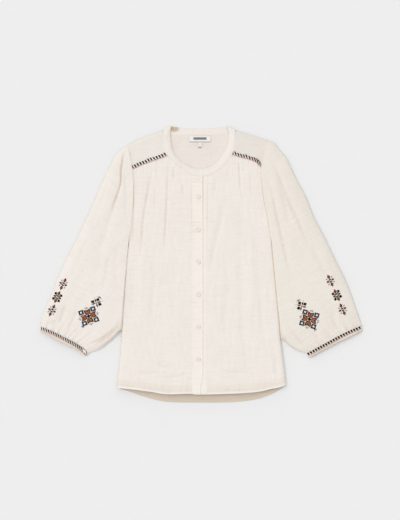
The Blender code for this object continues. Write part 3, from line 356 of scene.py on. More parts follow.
def joined(first, second, turn):
    """One curve function: the first curve up to the share called turn, then the second."""
    def at(share):
        share = np.asarray(share, float)
        early = first.at(np.clip(share / turn, 0.0, 1.0))
        late = second.at(np.clip((share - turn) / (1.0 - turn), 0.0, 1.0))
        return np.where((share < turn)[..., None], early, late)
    return at


def patch(top, bottom, left, right, s, t):
    """Plan points between four edges: s runs from top to bottom, t from left to right."""
    s_grid = s[:, None, None]
    t_grid = t[None, :, None]
    across = (1 - s_grid) * top(t)[None] + s_grid * bottom(t)[None]
    down = (1 - t_grid) * left(s)[:, None] + t_grid * right(s)[:, None]
    corners = (
        (1 - s_grid) * ((1 - t_grid) * top(0.0) + t_grid * top(1.0))
        + s_grid * ((1 - t_grid) * bottom(0.0) + t_grid * bottom(1.0))
    )
    return across + down - corners


def inset(plan, top=0.0, bottom=0.0, left=0.0, right=0.0):
    """Draws each edge in by the given amount for the seam gap, and eases what is near it."""
    moved = plan.copy()

    def ease(rows, amount):
        away = rows[1:] - rows[:1]
        reach = np.linalg.norm(away, axis=-1, keepdims=True)
        direction = away[:1] / np.maximum(reach[:1], 1e-9)
        weight = np.clip(1.0 - reach / INSET_EASE, 0.0, 1.0)
        rows[1:] += direction * amount * weight
        rows[:1] += direction * amount

    ease(moved, top)
    ease(moved[::-1], bottom)
    ease(moved.swapaxes(0, 1), left)
    ease(moved.swapaxes(0, 1)[::-1], right)
    return moved


def rounded(share):
    return np.sqrt(1.0 - (1.0 - np.clip(share, 0.0, 1.0)) ** 2)


def smooth(share):
    """0 below 0, 1 above 1, eased between."""
    share = np.clip(share, 0.0, 1.0)
    return share * share * (3.0 - 2.0 * share)


def bell(distance, reach):
    """1 at no distance, a third at the reach, nothing beyond twice that."""
    return np.exp(-(distance / reach) ** 2)


def span(points, origin):
    """Distances from an origin, or from an edge of the same grid."""
    return np.linalg.norm(points - origin, axis=-1)


def unit(vectors):
    return vectors / np.linalg.norm(vectors, axis=-1, keepdims=True)


def even_runs(*runs):
    """Even runs of shares, one after another: first, last, count."""
    return np.concatenate([np.linspace(*run) for run in runs])


def front_height(x, y):
    """Height of the fronts' cloth before its folds."""
    rows = np.array(MIDDLE_HEIGHT)
    middle = np.interp(y, rows[:, 0], rows[:, 1])
    return middle * (1.0 - SIDE_FALL * (np.abs(x) / 200.0) ** 2)


def beside_sleeve(y):
    """1 where a side edge lies against the sleeve, 0 further down."""
    return smooth((y + 188.0) / 36.0)


def armhole_height(curve, share):
    """Height of the seam between body and sleeve by the share along the armhole."""
    reach = np.minimum(share, 1.0 - share) * curve.length
    low = EDGE_HIGH + BESIDE_RAISE * smooth((share - 0.5) / 0.4)
    return low + (ARM_HEIGHT - low) * rounded(reach / ARM_ROUND)


def fold_depth(plan, folds):
    """How far the folds take the cloth down at each plan point."""
    total = np.zeros(plan.shape[:-1])
    for depth, half_width, points in folds:
        line = Curve(points).at(np.linspace(0.0, 1.0, FOLD_STEPS))
        nearest = np.zeros(plan.shape[:-1], int)
        closest = np.full(plan.shape[:-1], 1e9)
        for i, spot in enumerate(line):
            gap = np.hypot(plan[..., 0] - spot[0], plan[..., 1] - spot[1])
            nearer = gap < closest
            closest = np.where(nearer, gap, closest)
            nearest = np.where(nearer, i, nearest)
        fade = smooth(np.minimum(nearest, FOLD_STEPS - 1 - nearest) / 18.0)
        total += depth * fade * bell(closest, half_width)
    return total


def near_line(plan, curve, reach):
    """1 on a curve, fading to 0 away from it."""
    closest = np.full(plan.shape[:-1], 1e9)
    for spot in curve.at(np.linspace(0.0, 1.0, 80)):
        closest = np.minimum(closest, np.hypot(plan[..., 0] - spot[0], plan[..., 1] - spot[1]))
    return bell(closest, reach)


def fold_painted_shade(folds):
    """The folds as painted shade: tan painted along each trough, stronger for deep, narrow folds."""
    return [(0.15 * max(depth, 0.0) * min(1.0, (3.4 / width) ** 2), 0.5 * width + 0.4, points)
            for depth, width, points in folds]


def gather_rows(seed, count, depth, reach, low, high, wide=2.0):
    """Gathers between two shares: centre, depth, half width, reach, each one different."""
    draw = np.random.default_rng(seed)
    places = np.linspace(low, high, count)
    places = places + draw.uniform(-0.4, 0.4, count) * (high - low) / count
    return [(place, depth * draw.uniform(0.4, 1.4), wide * draw.uniform(0.7, 1.5),
             reach * draw.uniform(0.4, 1.9)) for place in places]


def ripple(plan, seed, size, length):
    """Soft unevenness of a laid cloth: a few long waves added up, in millimetres."""
    draw = np.random.default_rng(seed)
    total = np.zeros(plan.shape[:-1])
    for _ in range(RIPPLE_WAVES):
        angle = draw.uniform(0, 2 * math.pi)
        wave = length * draw.uniform(0.6, 1.8)
        phase = draw.uniform(0, 2 * math.pi)
        way = plan[..., 0] * math.cos(angle) + plan[..., 1] * math.sin(angle)
        total += np.sin(2 * math.pi * way / wave + phase)
    return total * size / math.sqrt(RIPPLE_WAVES)


def surface_normals(grid, closed=False):
    down = np.gradient(grid, axis=0)
    if closed:
        across = np.roll(grid, -1, axis=1) - np.roll(grid, 1, axis=1)
    else:
        across = np.gradient(grid, axis=1)
    normal = np.cross(down, across)
    size = np.linalg.norm(normal, axis=-1, keepdims=True)
    return normal / np.maximum(size, 1e-9)


def sideways(direction):
    """A plan direction as a unit vector in space."""
    return unit(np.concatenate([direction, np.zeros(direction.shape[:-1] + (1,))], axis=-1))


def level_out(normals, direction):
    """Normals made square to a plan direction, so that a wall ends square there."""
    axis = sideways(direction)
    return unit(normals - axis * np.sum(normals * axis, axis=-1, keepdims=True))


def with_height(plan, z):
    return np.concatenate([plan, z[..., None]], axis=-1)


def edge_places(width, rounding, steps, count):
    """Shares across a panel: close together where the edge rounds over, then even."""
    turn = np.linspace(0.0, math.pi / 2, steps)
    near = rounding * (1.0 - np.cos(turn)) / width
    far = np.linspace(near[-1], 1.0, count - steps + 1)[1:]
    return np.concatenate([near, far])


# The blouse stands where the solids stand: the label's corner gives the shift
label_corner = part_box("label")[0]
SHIFT = np.array([label_corner[0] / MM - LABEL[0], label_corner[1] / MM - LABEL[2], 0.0])


def placed(points):
    return (np.asarray(points, float) + SHIFT) * MM


# Shader writing

def linear(*steps_of_255):
    """A colour given in the usual 0 to 255 steps, as the shader wants it."""
    parts = [step / 255.0 for step in steps_of_255]
    return (*[part / 12.92 if part <= 0.04045 else ((part + 0.055) / 1.055) ** 2.4
              for part in parts], 1.0)


class Wire:
    """A socket of a shader tree. Arithmetic on it adds Math nodes."""

    def __init__(self, finish, socket):
        self.finish = finish
        self.socket = socket

    def math(self, operation, *values):
        sockets = dict(enumerate(values))
        return self.finish.add("ShaderNodeMath", {"operation": operation}, sockets)

    def __add__(self, other):
        return self.math("ADD", self, other)

    def __radd__(self, other):
        return self.math("ADD", other, self)

    def __sub__(self, other):
        return self.math("SUBTRACT", self, other)

    def __mul__(self, other):
        return self.math("MULTIPLY", self, other)

    def sine(self):
        return self.math("SINE", self)

    def clamped(self):
        return self.math("MINIMUM", self.math("MAXIMUM", self, 0.0), 1.0)


class Finish:
    """One material: its node tree, written with add and with arithmetic on wires."""

    def __init__(self, name, roughness=0.9):
        self.material = bpy.data.materials.new(name)
        self.material.use_nodes = True
        self.tree = self.material.node_tree
        self.shader = self.tree.nodes["Principled BSDF"]
        self.shader.inputs["Roughness"].default_value = roughness

    def add(self, kind, settings=None, sockets=None, output=0):
        node = self.tree.nodes.new(kind)
        for key, value in (settings or {}).items():
            setattr(node, key, value)
        for key, value in (sockets or {}).items():
            self.feed(node.inputs[key], value)
        return Wire(self, node.outputs[output])

    def feed(self, socket, value):
        if isinstance(value, Wire):
            self.tree.links.new(value.socket, socket)
        else:
            socket.default_value = value

    def set(self, name, value):
        self.feed(self.shader.inputs[name], value)

    def mix(self, share, low, high):
        """A colour between two: wires, or red, green and blue in 0 to 255 steps."""
        sockets = {0: share}
        for key, colour in ((6, low), (7, high)):
            sockets[key] = colour if isinstance(colour, Wire) else linear(*colour)
        return self.add("ShaderNodeMix", {"data_type": "RGBA"}, sockets, output=2)

    def place(self):
        """Object coordinates."""
        return self.add("ShaderNodeTexCoord", output=3)

    def split(self, vector):
        """The x and the y of a vector."""
        return [self.add("ShaderNodeSeparateXYZ", {}, {0: vector}, output=i) for i in (0, 1)]

    def stretched(self, vector, x, y):
        return self.add("ShaderNodeVectorMath", {"operation": "MULTIPLY"},
                        {0: vector, 1: (x, y, 1.0)})

    def noise(self, vector, scale, detail, roughness):
        return self.add("ShaderNodeTexNoise", {}, {
            "Vector": vector, "Scale": scale, "Detail": detail, "Roughness": roughness})

    def ramp(self, wire, low, high):
        """0 below low, 1 above high, smooth between."""
        return self.add("ShaderNodeMapRange", {"interpolation_type": "SMOOTHSTEP"}, {
            "Value": wire, "From Min": low, "From Max": high})

    def bump(self, height, distance, strength, before=None):
        sockets = {"Height": height, "Distance": distance, "Strength": strength}
        if before is not None:
            sockets["Normal"] = before
        return self.add("ShaderNodeBump", {}, sockets)


def crinkled_gauze(name, base, shade, painted_shade_colour):
    """Ivory crinkled gauze: slubs along the weft, fine crinkles, a plain weave."""
    finish = Finish(name)
    cloth = finish.add("ShaderNodeUVMap", {"uv_map": "cloth"})
    across, along = finish.split(cloth)
    painted_shading = finish.add("ShaderNodeAttribute", {"attribute_name": "painted_shading"}, output=2)
    ridge = finish.noise(finish.stretched(cloth, 15.0, 150.0), 1.0, 2.0, 0.5)
    slub = finish.noise(finish.stretched(cloth, 26.0, 420.0), 1.0, 3.0, 0.55)
    slub_line = finish.ramp(slub, 0.55, 0.72)
    crinkle = finish.noise(finish.stretched(cloth, 70.0, 240.0), 1.0, 3.0, 0.6)
    warp = finish.noise(finish.stretched(cloth, 420.0, 34.0), 1.0, 2.0, 0.5)
    cloudy = finish.noise(cloth, 14.0, 2.0, 0.5)
    thread = 2 * math.pi / WEAVE_PITCH
    weave = (across * thread).sine() * (along * thread).sine()
    # The tone follows the ridge and crinkle noise that the bumps below raise, so their troughs come
    # out darker, a painted shade; the cloudy tone and the darker slub lines are the cloth's own.
    tone = (ridge * 0.5 + crinkle * 0.25 + cloudy * 0.6 - slub_line * 0.3 - 0.15).clamped()
    # Painted light: the per-point tint mixes in a tan painted shade where it is positive and a white
    # painted highlight where it is negative.
    colour = finish.mix(painted_shading.clamped(), finish.mix(tone, shade, base), painted_shade_colour)
    finish.set("Base Color", finish.mix((painted_shading * -1.0).clamped(), colour, PAINTED_HIGHLIGHT))
    finish.set("Roughness", (0.84 + crinkle * 0.14).clamped())
    finish.set("Sheen Weight", 0.1)
    finish.set("Sheen Roughness", 0.5)
    finish.set("Specular IOR Level", 0.2)
    normal = None
    for height, distance, strength in ((ridge, 0.0013, 1.0), (crinkle, 0.0006, 1.0),
                                       (slub_line, 0.00016, 1.0), (warp, 0.0002, 1.0),
                                       (weave, 0.00005, 0.6)):
        normal = finish.bump(height, distance, strength, normal)
    finish.set("Normal", normal)
    return finish.material


def embroidery_thread(name, colour, light):
    """Twisted cotton floss: a soft gloss and fine plies."""
    finish = Finish(name, 0.5)
    fleck = finish.noise(finish.place(), 900.0, 2.0, 0.6)
    finish.set("Base Color", finish.mix(finish.ramp(fleck, 0.35, 0.7), colour, light))
    finish.set("Roughness", (0.5 + fleck * 0.3).clamped())
    finish.set("Specular IOR Level", 0.1)
    finish.set("Normal", finish.bump(fleck, 0.0001, 0.7))
    return finish.material


def shell_button(name):
    """Milky shell: faint clouds under a satin polish."""
    finish = Finish(name, 0.35)
    cloud = finish.noise(finish.place(), 260.0, 3.0, 0.6)
    finish.set("Base Color", finish.mix(cloud, (227, 218, 211), (235, 227, 220)))
    finish.set("Roughness", (0.3 + cloud * 0.2).clamped())
    finish.set("Coat Weight", 0.2)
    return finish.material


def woven_ribbon(name, base, shade):
    """Close woven ribbon, such as a label."""
    finish = Finish(name, 0.7)
    x, y = finish.split(finish.place())
    step = 2 * math.pi / RIBBON_PITCH
    weave = (x * step).sine() * 0.5 + (y * step).sine() * 0.5
    finish.set("Base Color", finish.mix((weave * 0.25 + 0.5).clamped(), shade, base))
    finish.set("Roughness", (0.65 + weave * 0.1).clamped())
    finish.set("Normal", finish.bump(weave, 0.0001, 0.6))
    return finish.material


def studio_paper(name):
    finish = Finish(name, 0.95)
    grain = finish.noise(finish.place(), 40.0, 2.0, 0.5)
    finish.set("Base Color", finish.mix(grain, (229, 229, 229), (231, 231, 231)))
    finish.set("Specular IOR Level", 0.0)
    return finish.material


# Colours of painted light: a tan and a greige painted shade, and a white painted highlight.
PAINTED_SHADE_TAN = (206, 178, 140)
PAINTED_SHADE_GREIGE = (197, 178, 152)
PAINTED_HIGHLIGHT = (248, 244, 240)
GAUZE = crinkled_gauze("ivory gauze", (236, 230, 224), (228, 221, 213), PAINTED_SHADE_TAN)
# The left sleeve and yoke get darker copies of the gauze: painted shade on the side away from the key
# light.
SHADED_SIDE_GAUZE = crinkled_gauze("ivory gauze left sleeve", (233, 227, 219), (225, 217, 207), PAINTED_SHADE_TAN)
YOKE_GAUZE = crinkled_gauze("ivory gauze yoke", (232, 226, 220), (225, 218, 210), PAINTED_SHADE_TAN)
SHADED_SIDE_YOKE_GAUZE = crinkled_gauze("ivory gauze left yoke", (228, 222, 215), (221, 214, 205), PAINTED_SHADE_TAN)
INNER_GAUZE = crinkled_gauze("ivory gauze wrong side", (232, 225, 218), (225, 216, 207), PAINTED_SHADE_GREIGE)
BAND_GAUZE = crinkled_gauze("ivory gauze doubled", (240, 234, 227), (233, 226, 217), PAINTED_SHADE_TAN)
NECK_GAUZE = crinkled_gauze("ivory gauze neckband", (236, 230, 224), (229, 222, 215), PAINTED_SHADE_GREIGE)
SEWING = embroidery_thread("sewing thread", (226, 217, 206), (236, 229, 220))
BROWN = embroidery_thread("rust thread", (72, 36, 16), (120, 67, 35))
ORANGE = embroidery_thread("light rust thread", (158, 88, 48), (192, 118, 72))
NAVY = embroidery_thread("navy thread", (4, 7, 16), (14, 20, 34))
SLATE = embroidery_thread("slate thread", (26, 34, 50), (50, 61, 80))
GREY_BLUE = embroidery_thread("grey blue thread", (112, 126, 150), (146, 160, 182))
HOLE_SHADE = embroidery_thread("buttonhole shade", (190, 176, 168), (200, 187, 179))
WHITE_THREAD = embroidery_thread("white thread", (226, 224, 222), (242, 240, 238))
BUTTON_FINISH = shell_button("shell")
LABEL_FINISH = woven_ribbon("white label ribbon", (240, 237, 234), (226, 223, 221))
TAB_FINISH = woven_ribbon("tab ribbon", (232, 228, 224), (220, 216, 212))
LABEL_SHADE = woven_ribbon("label hem shadow", (178, 170, 166), (160, 152, 148))
LABEL_BAR = woven_ribbon("grey label ribbon", (132, 130, 130), (100, 99, 101))


# Mesh building

def placed_object(name, data):
    made = bpy.data.objects.new(name, data)
    bpy.context.collection.objects.link(made)
    return made


def linked(name, mesh):
    """A new piece in the scene, under a name that no solid has."""
    return placed_object("fine_" + name.replace(" ", "_"), mesh)


def smoothed(mesh):
    mesh.shade_smooth()
    mesh.set_sharp_from_angle(angle=SHARP_ANGLE)


def mesh_object(name, points, faces, finish, uv=None, painted_shading=None):
    """An object from points in metres and quads, with a cloth UV map in metres."""
    mesh = bpy.data.meshes.new(name)
    mesh.from_pydata(points.tolist(), [], faces)
    mesh.validate()
    if uv is not None:
        layer = mesh.uv_layers.new(name="cloth")
        corner = np.zeros(len(mesh.loops), int)
        mesh.loops.foreach_get("vertex_index", corner)
        layer.data.foreach_set("uv", uv[corner].astype(np.float32).ravel())
        # The per-point tint of painted shade (positive) and painted highlight (negative), read by the
        # cloth shader.
        tint = mesh.attributes.new("painted_shading", "FLOAT", "POINT")
        tint.data.foreach_set("value", painted_shading.astype(np.float32))
    smoothed(mesh)
    mesh.materials.append(finish)
    return linked(name, mesh)


def cloth_measure(grid):
    """Real distances across and down a grid of points, in metres, for the UV map."""
    step_across = np.linalg.norm(np.diff(grid, axis=1), axis=-1)
    middle = step_across[len(step_across) // 2]
    across = np.concatenate([[0.0], np.cumsum(middle)])
    step_down = np.linalg.norm(np.diff(grid, axis=0), axis=-1)
    down = np.concatenate([[0.0], np.cumsum(step_down.mean(axis=1))])
    u, v = np.meshgrid(across, down)
    return np.stack([u, v], axis=-1) * MM


def plan_measure(grid):
    """The plan place as UV, for panels whose weave runs straight along X and Y."""
    return grid[..., :2] * MM


def shell(name, outer, inner, finish, uv, painted_shading=0.0, closed=False):
    """A closed wall of cloth between two grids of points. Its tint is painted light: 1 a tan painted
    shade, -1 a white painted highlight.
    """
    rows, columns = outer.shape[:2]
    count = rows * columns
    index = np.arange(count).reshape(rows, columns)
    ring = np.concatenate([index, index[:, :1]], axis=1) if closed else index

    def wall(first, second):
        """Faces that close an edge, from the outer grid to the inner one."""
        return np.stack([first, second, second + count, first + count], axis=1)

    a, b = ring[:-1, :-1].ravel(), ring[:-1, 1:].ravel()
    c, d = ring[1:, 1:].ravel(), ring[1:, :-1].ravel()
    faces = [np.stack([a, d, c, b], axis=1), np.stack([a, b, c, d], axis=1) + count,
             wall(ring[0, :-1], ring[0, 1:]), wall(ring[-1, 1:], ring[-1, :-1])]
    if not closed:
        faces += [wall(index[1:, 0], index[:-1, 0]), wall(index[:-1, -1], index[1:, -1])]
    faces = np.concatenate(faces)
    points = np.concatenate([outer.reshape(-1, 3), inner.reshape(-1, 3)])
    facing = np.cross(outer[1, 0] - outer[0, 0], outer[0, 1] - outer[0, 0])
    if np.dot(facing, outer[0, 0] - inner[0, 0]) < 0:
        faces = faces[:, ::-1]
    flat_uv = np.concatenate([uv.reshape(-1, 2), uv.reshape(-1, 2)])
    tint = (np.clip(painted_shading, -1.0, 1.0) * np.ones((rows, columns))).ravel()
    return mesh_object(name, placed(points), faces.tolist(), finish, flat_uv,
                       np.concatenate([tint, tint]))


class Side:
    """The seams and folds of one half of the blouse."""

    def __init__(self, name, sign, shoulder, armhole, side, yoke_seam, folds, lines):
        self.name = name
        self.sign = sign
        self.start = 0.0 if sign < 0 else 1.0    # where curves across the blouse begin here
        self.shoulder = Curve(shoulder)
        self.armhole = Curve(armhole)
        self.side = Curve(side)
        self.yoke_seam = Curve(yoke_seam)
        self.folds = folds
        self.lines = lines
        self.yoke_end = self.armhole.share_where(1, yoke_seam[0][1])


NECK = Curve(NECK_SEAM)
NECK_FREE = Curve(NECK_FREE_EDGE)
BACK_NECK = Curve(BACK_NECK_SEAM)
BACK_NECK_FREE = Curve(BACK_NECK_FREE_EDGE)
HEM = Curve(FRONT_HEM)
HEM_BACK = Curve(BACK_HEM)
RIGHT = Side("right", -1, RIGHT_SHOULDER, RIGHT_ARMHOLE, RIGHT_SIDE, RIGHT_YOKE_SEAM,
             RIGHT_FRONT_FOLDS, RIGHT_FRONT_LINES)
LEFT = Side("left", 1, LEFT_SHOULDER, LEFT_ARMHOLE, LEFT_SIDE, LEFT_YOKE_SEAM,
            LEFT_FRONT_FOLDS, LEFT_FRONT_LINES)


def front_plan(side, centre_x, s, t):
    """Plan points of a front, and the share of its side edge where the armhole ends."""
    neck_end = NECK.share_at_x(centre_x)
    neckline = NECK.part(NECK.share_near(side.yoke_seam.at(1.0)), neck_end)
    top = joined(side.yoke_seam, neckline, 0.5)
    lower_armhole = side.armhole.part(side.yoke_end, 1.0)
    turn = lower_armhole.length / (lower_armhole.length + side.side.length)
    edge = joined(lower_armhole, side.side, turn)
    hem_end = HEM.share_at_x(centre_x)
    hem = HEM.part(side.start, hem_end)
    y_top = NECK.at(neck_end)[1]
    y_bottom = HEM.at(hem_end)[1]

    def centre(share):
        share = np.asarray(share, float)
        y = y_top + (y_bottom - y_top) * share
        return np.stack([np.full(share.shape, centre_x), y], axis=-1)

    return patch(top, hem.at, edge, centre, s, t), turn


def gathers(t, below, width, rows):
    """Small troughs that run down from a seam and fade, one for each row."""
    total = np.zeros(below.shape)
    for centre, depth, half_width, reach in rows:
        across = (t[None, :] - centre) * width
        trough = bell(across, half_width)
        crest = bell(np.abs(across) - 1.9 * half_width, half_width)
        total += depth * (trough - 0.35 * crest) * np.exp(-below / reach)
    return total


def hem_turn(from_hem, x):
    """The turned-up hem: a step and a stitched groove, slightly puckered."""
    step = 0.45 * smooth((HEM_DEPTH - from_hem) / 0.8 + 0.5)
    groove = 0.35 * bell(from_hem - HEM_DEPTH + HEM_INDENT, 0.8)
    pucker = 0.16 * np.sin(x / 2.3) * bell(from_hem - HEM_DEPTH, 5.0)
    roll = 0.9 * smooth((1.6 - from_hem) / 1.6)
    return step - groove + pucker - roll


def front_shell(side, centre_x):
    """A front of the blouse, with its gathers, folds and turned hem."""
    t = edge_places(190.0, EDGE_ROUND_FRONT, 9, 150)
    s = even_runs((0.0, 0.965, 180), (0.9675, 1.0, 16))
    plan, turn = front_plan(side, centre_x, s, t)
    plan = inset(plan, top=SEAM_DRAW)
    on_arm = s < turn - 1e-6
    plan[on_arm] = inset(plan, left=SEAM_DRAW)[on_arm]
    x, y = plan[..., 0], plan[..., 1]
    share = side.yoke_end + (1.0 - side.yoke_end) * np.clip(s / turn, 0.0, 1.0)
    side_edge = EDGE_HIGH + BESIDE_RAISE * beside_sleeve(y[:, 0])
    edge = np.where(s < turn, armhole_height(side.armhole, share), side_edge)[:, None]
    reach = span(plan, plan[:, :1])
    below = span(plan, plan[:1])
    from_hem = span(plan, plan[-1:])
    full = front_height(x, y)
    if side.sign > 0:
        full = full - BAND_DROP * (1.0 - smooth((x - centre_x) / 14.0))
    rows = (gather_rows(40 + side.sign, count=9, depth=0.6, reach=34.0, low=0.05, high=0.49)
            + gather_rows(50 + side.sign, count=4, depth=0.4, reach=28.0, low=0.56, high=0.9))
    gathered = gathers(t, below, 172.0, rows)
    full = full - gathered
    full = full - fold_depth(plan, side.folds)
    calm = smooth(below / 30.0) * smooth(np.abs(x - centre_x) / 16.0)
    full = full + ripple(plan, 11 + side.sign, size=0.5, length=70.0) * calm
    full = full + ripple(plan * np.array([1.0, 0.35]), 31 + side.sign, size=0.28, length=16.0) * calm
    full = full - 0.25 * smooth((2.2 - below) / 2.2)
    wave = 0.7 * np.sin(x / 15.0 + side.sign) + 0.5 * np.sin(x / 7.3 + 2.0)
    full = full + wave * smooth((40.0 - from_hem) / 40.0) * smooth(reach / 20.0)
    z = edge + (full - edge) * rounded(reach / EDGE_ROUND_FRONT)
    z = z - 0.12 * smooth((1.8 - reach) / 1.8) * (s < turn)[:, None]
    z = z + hem_turn(from_hem, x) * smooth(reach / 10.0)
    outer = with_height(plan, z)
    normals = surface_normals(outer) * -side.sign
    out = np.stack([np.full(len(s), float(side.sign)), np.zeros(len(s))], axis=-1)
    normals[on_arm, 0] = level_out(normals[on_arm, 0], out[on_arm])
    normals[~on_arm, 0] = sideways(out[~on_arm])
    normals[:, -1] = level_out(normals[:, -1], out)
    up = np.tile([0.0, 1.0], (len(t), 1))
    normals[0, 1:] = level_out(normals[0, 1:], (plan[0] - plan[1])[1:])
    normals[-1, 1:] = level_out(normals[-1, 1:], up[1:])
    # Painted shade in tan along the folds, seam lines and gathers, below the top seam, along the
    # armhole and the side beside the sleeve and along the hem's stitch line; a tan band darkens the
    # last 26 mm above the hem; a white painted highlight lies on the hem's rolled edge.
    painted_shading = fold_depth(plan, fold_painted_shade(side.folds) + side.lines) + 0.12 * gathered
    painted_shading = painted_shading + 0.15 * bell(below, 1.6)
    beside = np.where(s < turn, 1.0, beside_sleeve(y[:, 0]))[:, None]
    painted_shading = painted_shading + SEAM_PAINTED_SHADE[float(side.sign)] * beside * bell(reach, 2.2)
    painted_shading = painted_shading + 0.1 * bell(from_hem - HEM_DEPTH, 1.2)
    painted_shading = painted_shading + 0.13 * smooth((26.0 - from_hem) / 10.0) - 0.7 * bell(from_hem, 3.0)
    return shell("front " + side.name, outer, outer - normals * SHELL, GAUZE,
                 plan_measure(outer), painted_shading)


def yoke_surface(side, s, t):
    neck_side = NECK.part(side.start, NECK.share_near(side.yoke_seam.at(1.0)))
    arm_side = side.armhole.part(0.0, side.yoke_end)
    plan = patch(side.shoulder.at, side.yoke_seam.at, arm_side.at, neck_side.at, s, t)
    plan = inset(plan, bottom=SEAM_DRAW, left=SEAM_DRAW, right=SEAM_DRAW)
    x, y = plan[..., 0], plan[..., 1]
    full = front_height(x, y) + ripple(plan, 51 + side.sign, size=0.3, length=40.0)
    full = full + ripple(plan, 61 + side.sign, size=0.15, length=14.0)
    edge = armhole_height(side.armhole, side.yoke_end * s)[:, None]
    reach = span(plan, plan[:, :1])
    to_neck = span(plan, plan[:, -1:])
    full = edge + (full - edge) * rounded(reach / EDGE_ROUND_FRONT)
    full = full - 0.12 * smooth((1.8 - reach) / 1.8) - 0.2 * smooth((1.8 - to_neck) / 1.8)
    from_shoulder = span(plan, plan[:1])
    z = EDGE_HIGH + (full - EDGE_HIGH) * rounded(from_shoulder / EDGE_ROUND_FRONT)
    return with_height(plan, z)


def yoke_shell(side):
    """The plain yoke over the shoulder."""
    t = even_runs((0.0, 0.03, 4), (0.045, 0.97, 60), (0.98, 1.0, 4))
    s = edge_places(85.0, EDGE_ROUND_FRONT, 9, 50)
    outer = yoke_surface(side, s, t)
    normals = surface_normals(outer) * -side.sign
    up = (outer[0] - outer[2])[:, :2]
    normals[:, 0] = level_out(normals[:, 0], (outer[:, 1] - outer[:, 0])[:, :2])
    normals[:, -1] = level_out(normals[:, -1], (outer[:, -1] - outer[:, -2])[:, :2])
    normals[-1] = level_out(normals[-1], (outer[-1] - outer[-2])[:, :2])
    normals[0] = sideways(up)
    reach = span(outer[..., :2], outer[:, :1, :2])
    # Painted shade in tan along the armhole edge.
    painted_shading = 0.2 * bell(reach, 1.5)
    finish = YOKE_GAUZE if side.sign < 0 else SHADED_SIDE_YOKE_GAUZE
    return shell("yoke " + side.name, outer, outer - normals * SHELL, finish,
                 plan_measure(outer), painted_shading)


def back_shell():
    """The back, flat underneath, its upper face slightly uneven where it shows."""
    def edge(side):
        turn = side.armhole.length / (side.armhole.length + side.side.length)
        return joined(side.armhole, side.side, turn), turn

    left_edge, right_turn = edge(RIGHT)
    right_edge, left_turn = edge(LEFT)
    first = RIGHT.shoulder.length
    middle = BACK_NECK.length
    last = LEFT.shoulder.length
    whole = first + middle + last

    def top(share):
        way = np.asarray(share, float) * whole
        near = RIGHT.shoulder.at(np.clip(way / first, 0.0, 1.0))
        mid = BACK_NECK.at(np.clip((way - first) / middle, 0.0, 1.0))
        far = LEFT.shoulder.at(np.clip((whole - way) / last, 0.0, 1.0))
        past = (way > first)[..., None]
        beyond = (way > first + middle)[..., None]
        return np.where(beyond, far, np.where(past, mid, near))

    edge_steps = np.array([0.0, 0.001, 0.003, 0.006, 0.011, 0.018])
    t = np.concatenate([edge_steps, np.linspace(0.03, 0.97, 110), 1.0 - edge_steps[::-1]])
    turn = (right_turn + left_turn) / 2
    s = np.concatenate([[0.0, 0.001, 0.003, 0.006, 0.011], np.linspace(0.018, 0.965, 110),
                        np.linspace(0.968, 1.0, 14)])
    plan = patch(top, HEM_BACK.at, left_edge, right_edge, s, t)
    plan = inset(plan, top=SEAM_DRAW)
    on_arm = s <= turn + 1e-6
    plan[on_arm] = inset(plan, left=BACK_INSET, right=BACK_INSET)[on_arm]
    corner_a = first / whole
    corner_b = (first + middle) / whole
    on_shoulder = (t < corner_a) | (t > corner_b)
    down = span(plan, plan[:1])
    near_corner = np.minimum(np.minimum(np.abs(t - corner_a), np.abs(t - corner_b)),
                             np.minimum(t, 1.0 - t)) * whole
    lift = EDGE_LOW * (1.0 - rounded(down / EDGE_ROUND_BACK))
    lift = lift * (on_shoulder * smooth(near_corner / 12.0))[None, :]
    side_reach = np.minimum(span(plan, plan[:, :1]), span(plan, plan[:, -1:]))
    side_level = EDGE_LOW + BESIDE_RAISE * beside_sleeve(plan[..., 1])
    side_lift = side_level * (1.0 - rounded(side_reach / EDGE_ROUND_BACK))
    side_lift = side_lift * smooth((s - turn) / 0.03)[:, None]
    ends = smooth((322.0 - plan[..., 1]) / 26.0)
    neck_lift = BACK_RISE * ends * near_line(plan, NECK_FREE, 10.0)
    base = np.maximum(np.maximum(lift, side_lift), neck_lift)
    from_hem = span(plan, plan[-1:])
    uneven = 0.25 + 0.2 * ripple(plan, 5, size=1.0, length=26.0) * smooth((6.0 - base) / 6.0)
    uneven = uneven + 0.35 * smooth((HEM_DEPTH - from_hem) / 0.8 + 0.5)
    lower = with_height(plan, base + TABLE_GAP)
    normals = -surface_normals(lower)
    normals = np.where(normals[..., 2:] > 0, -normals, normals)
    normals[base < 1e-6] = DOWN
    below = s > turn + 0.03
    left_out = np.tile([-1.0, 0.0], (len(s), 1))
    normals[below, 0] = sideways(left_out[below])
    normals[below, -1] = sideways(-left_out[below])
    raised = on_shoulder & (near_corner > 12.0)
    up = np.tile([0.0, 1.0], (len(t), 1))
    normals[0, raised] = sideways(up[raised])
    thick = (SHELL + np.clip(uneven, 0.0, 0.9) * (base < 0.4))[..., None]
    upper = lower - normals * thick
    # Painted shade in greige: on the back's strip below the fronts' hem, where the raised hem shades
    # it, and under the neckband's free edges.
    painted_shading = 0.6 * smooth((-285.0 - plan[..., 1]) / 20.0)
    painted_shading = painted_shading + fold_depth(plan, [
        (0.95, 3.6, [(-75.0, 336.0), (-76.0, 300.0), (-70.0, 272.0), (-56.0, 252.0)]),
        (0.2, 3.0, [(70.0, 330.0), (66.0, 290.0), (50.0, 262.0)])])
    return shell("back", lower, upper, INNER_GAUZE, plan_measure(lower), painted_shading)


def strip_surface(x_left, x_right, drop, near_hem, s, t):
    """A strip down the front. near_hem is how far its right edge swings out at the hem."""
    places = x_left + (x_right - x_left) * t
    top = np.array([NECK.at(NECK.share_at_x(x))[1] for x in places]) - 0.3
    low = np.array([HEM.at(HEM.share_at_x(x))[1] for x in places])
    y = top[None, :] + (low - top)[None, :] * s[:, None]
    slant = near_hem * smooth((-255.0 - y) / 60.0)
    x = places[None, :] + slant * t[None, :]
    z = front_height(x, y) - drop
    return np.stack([x, y, z], axis=-1)


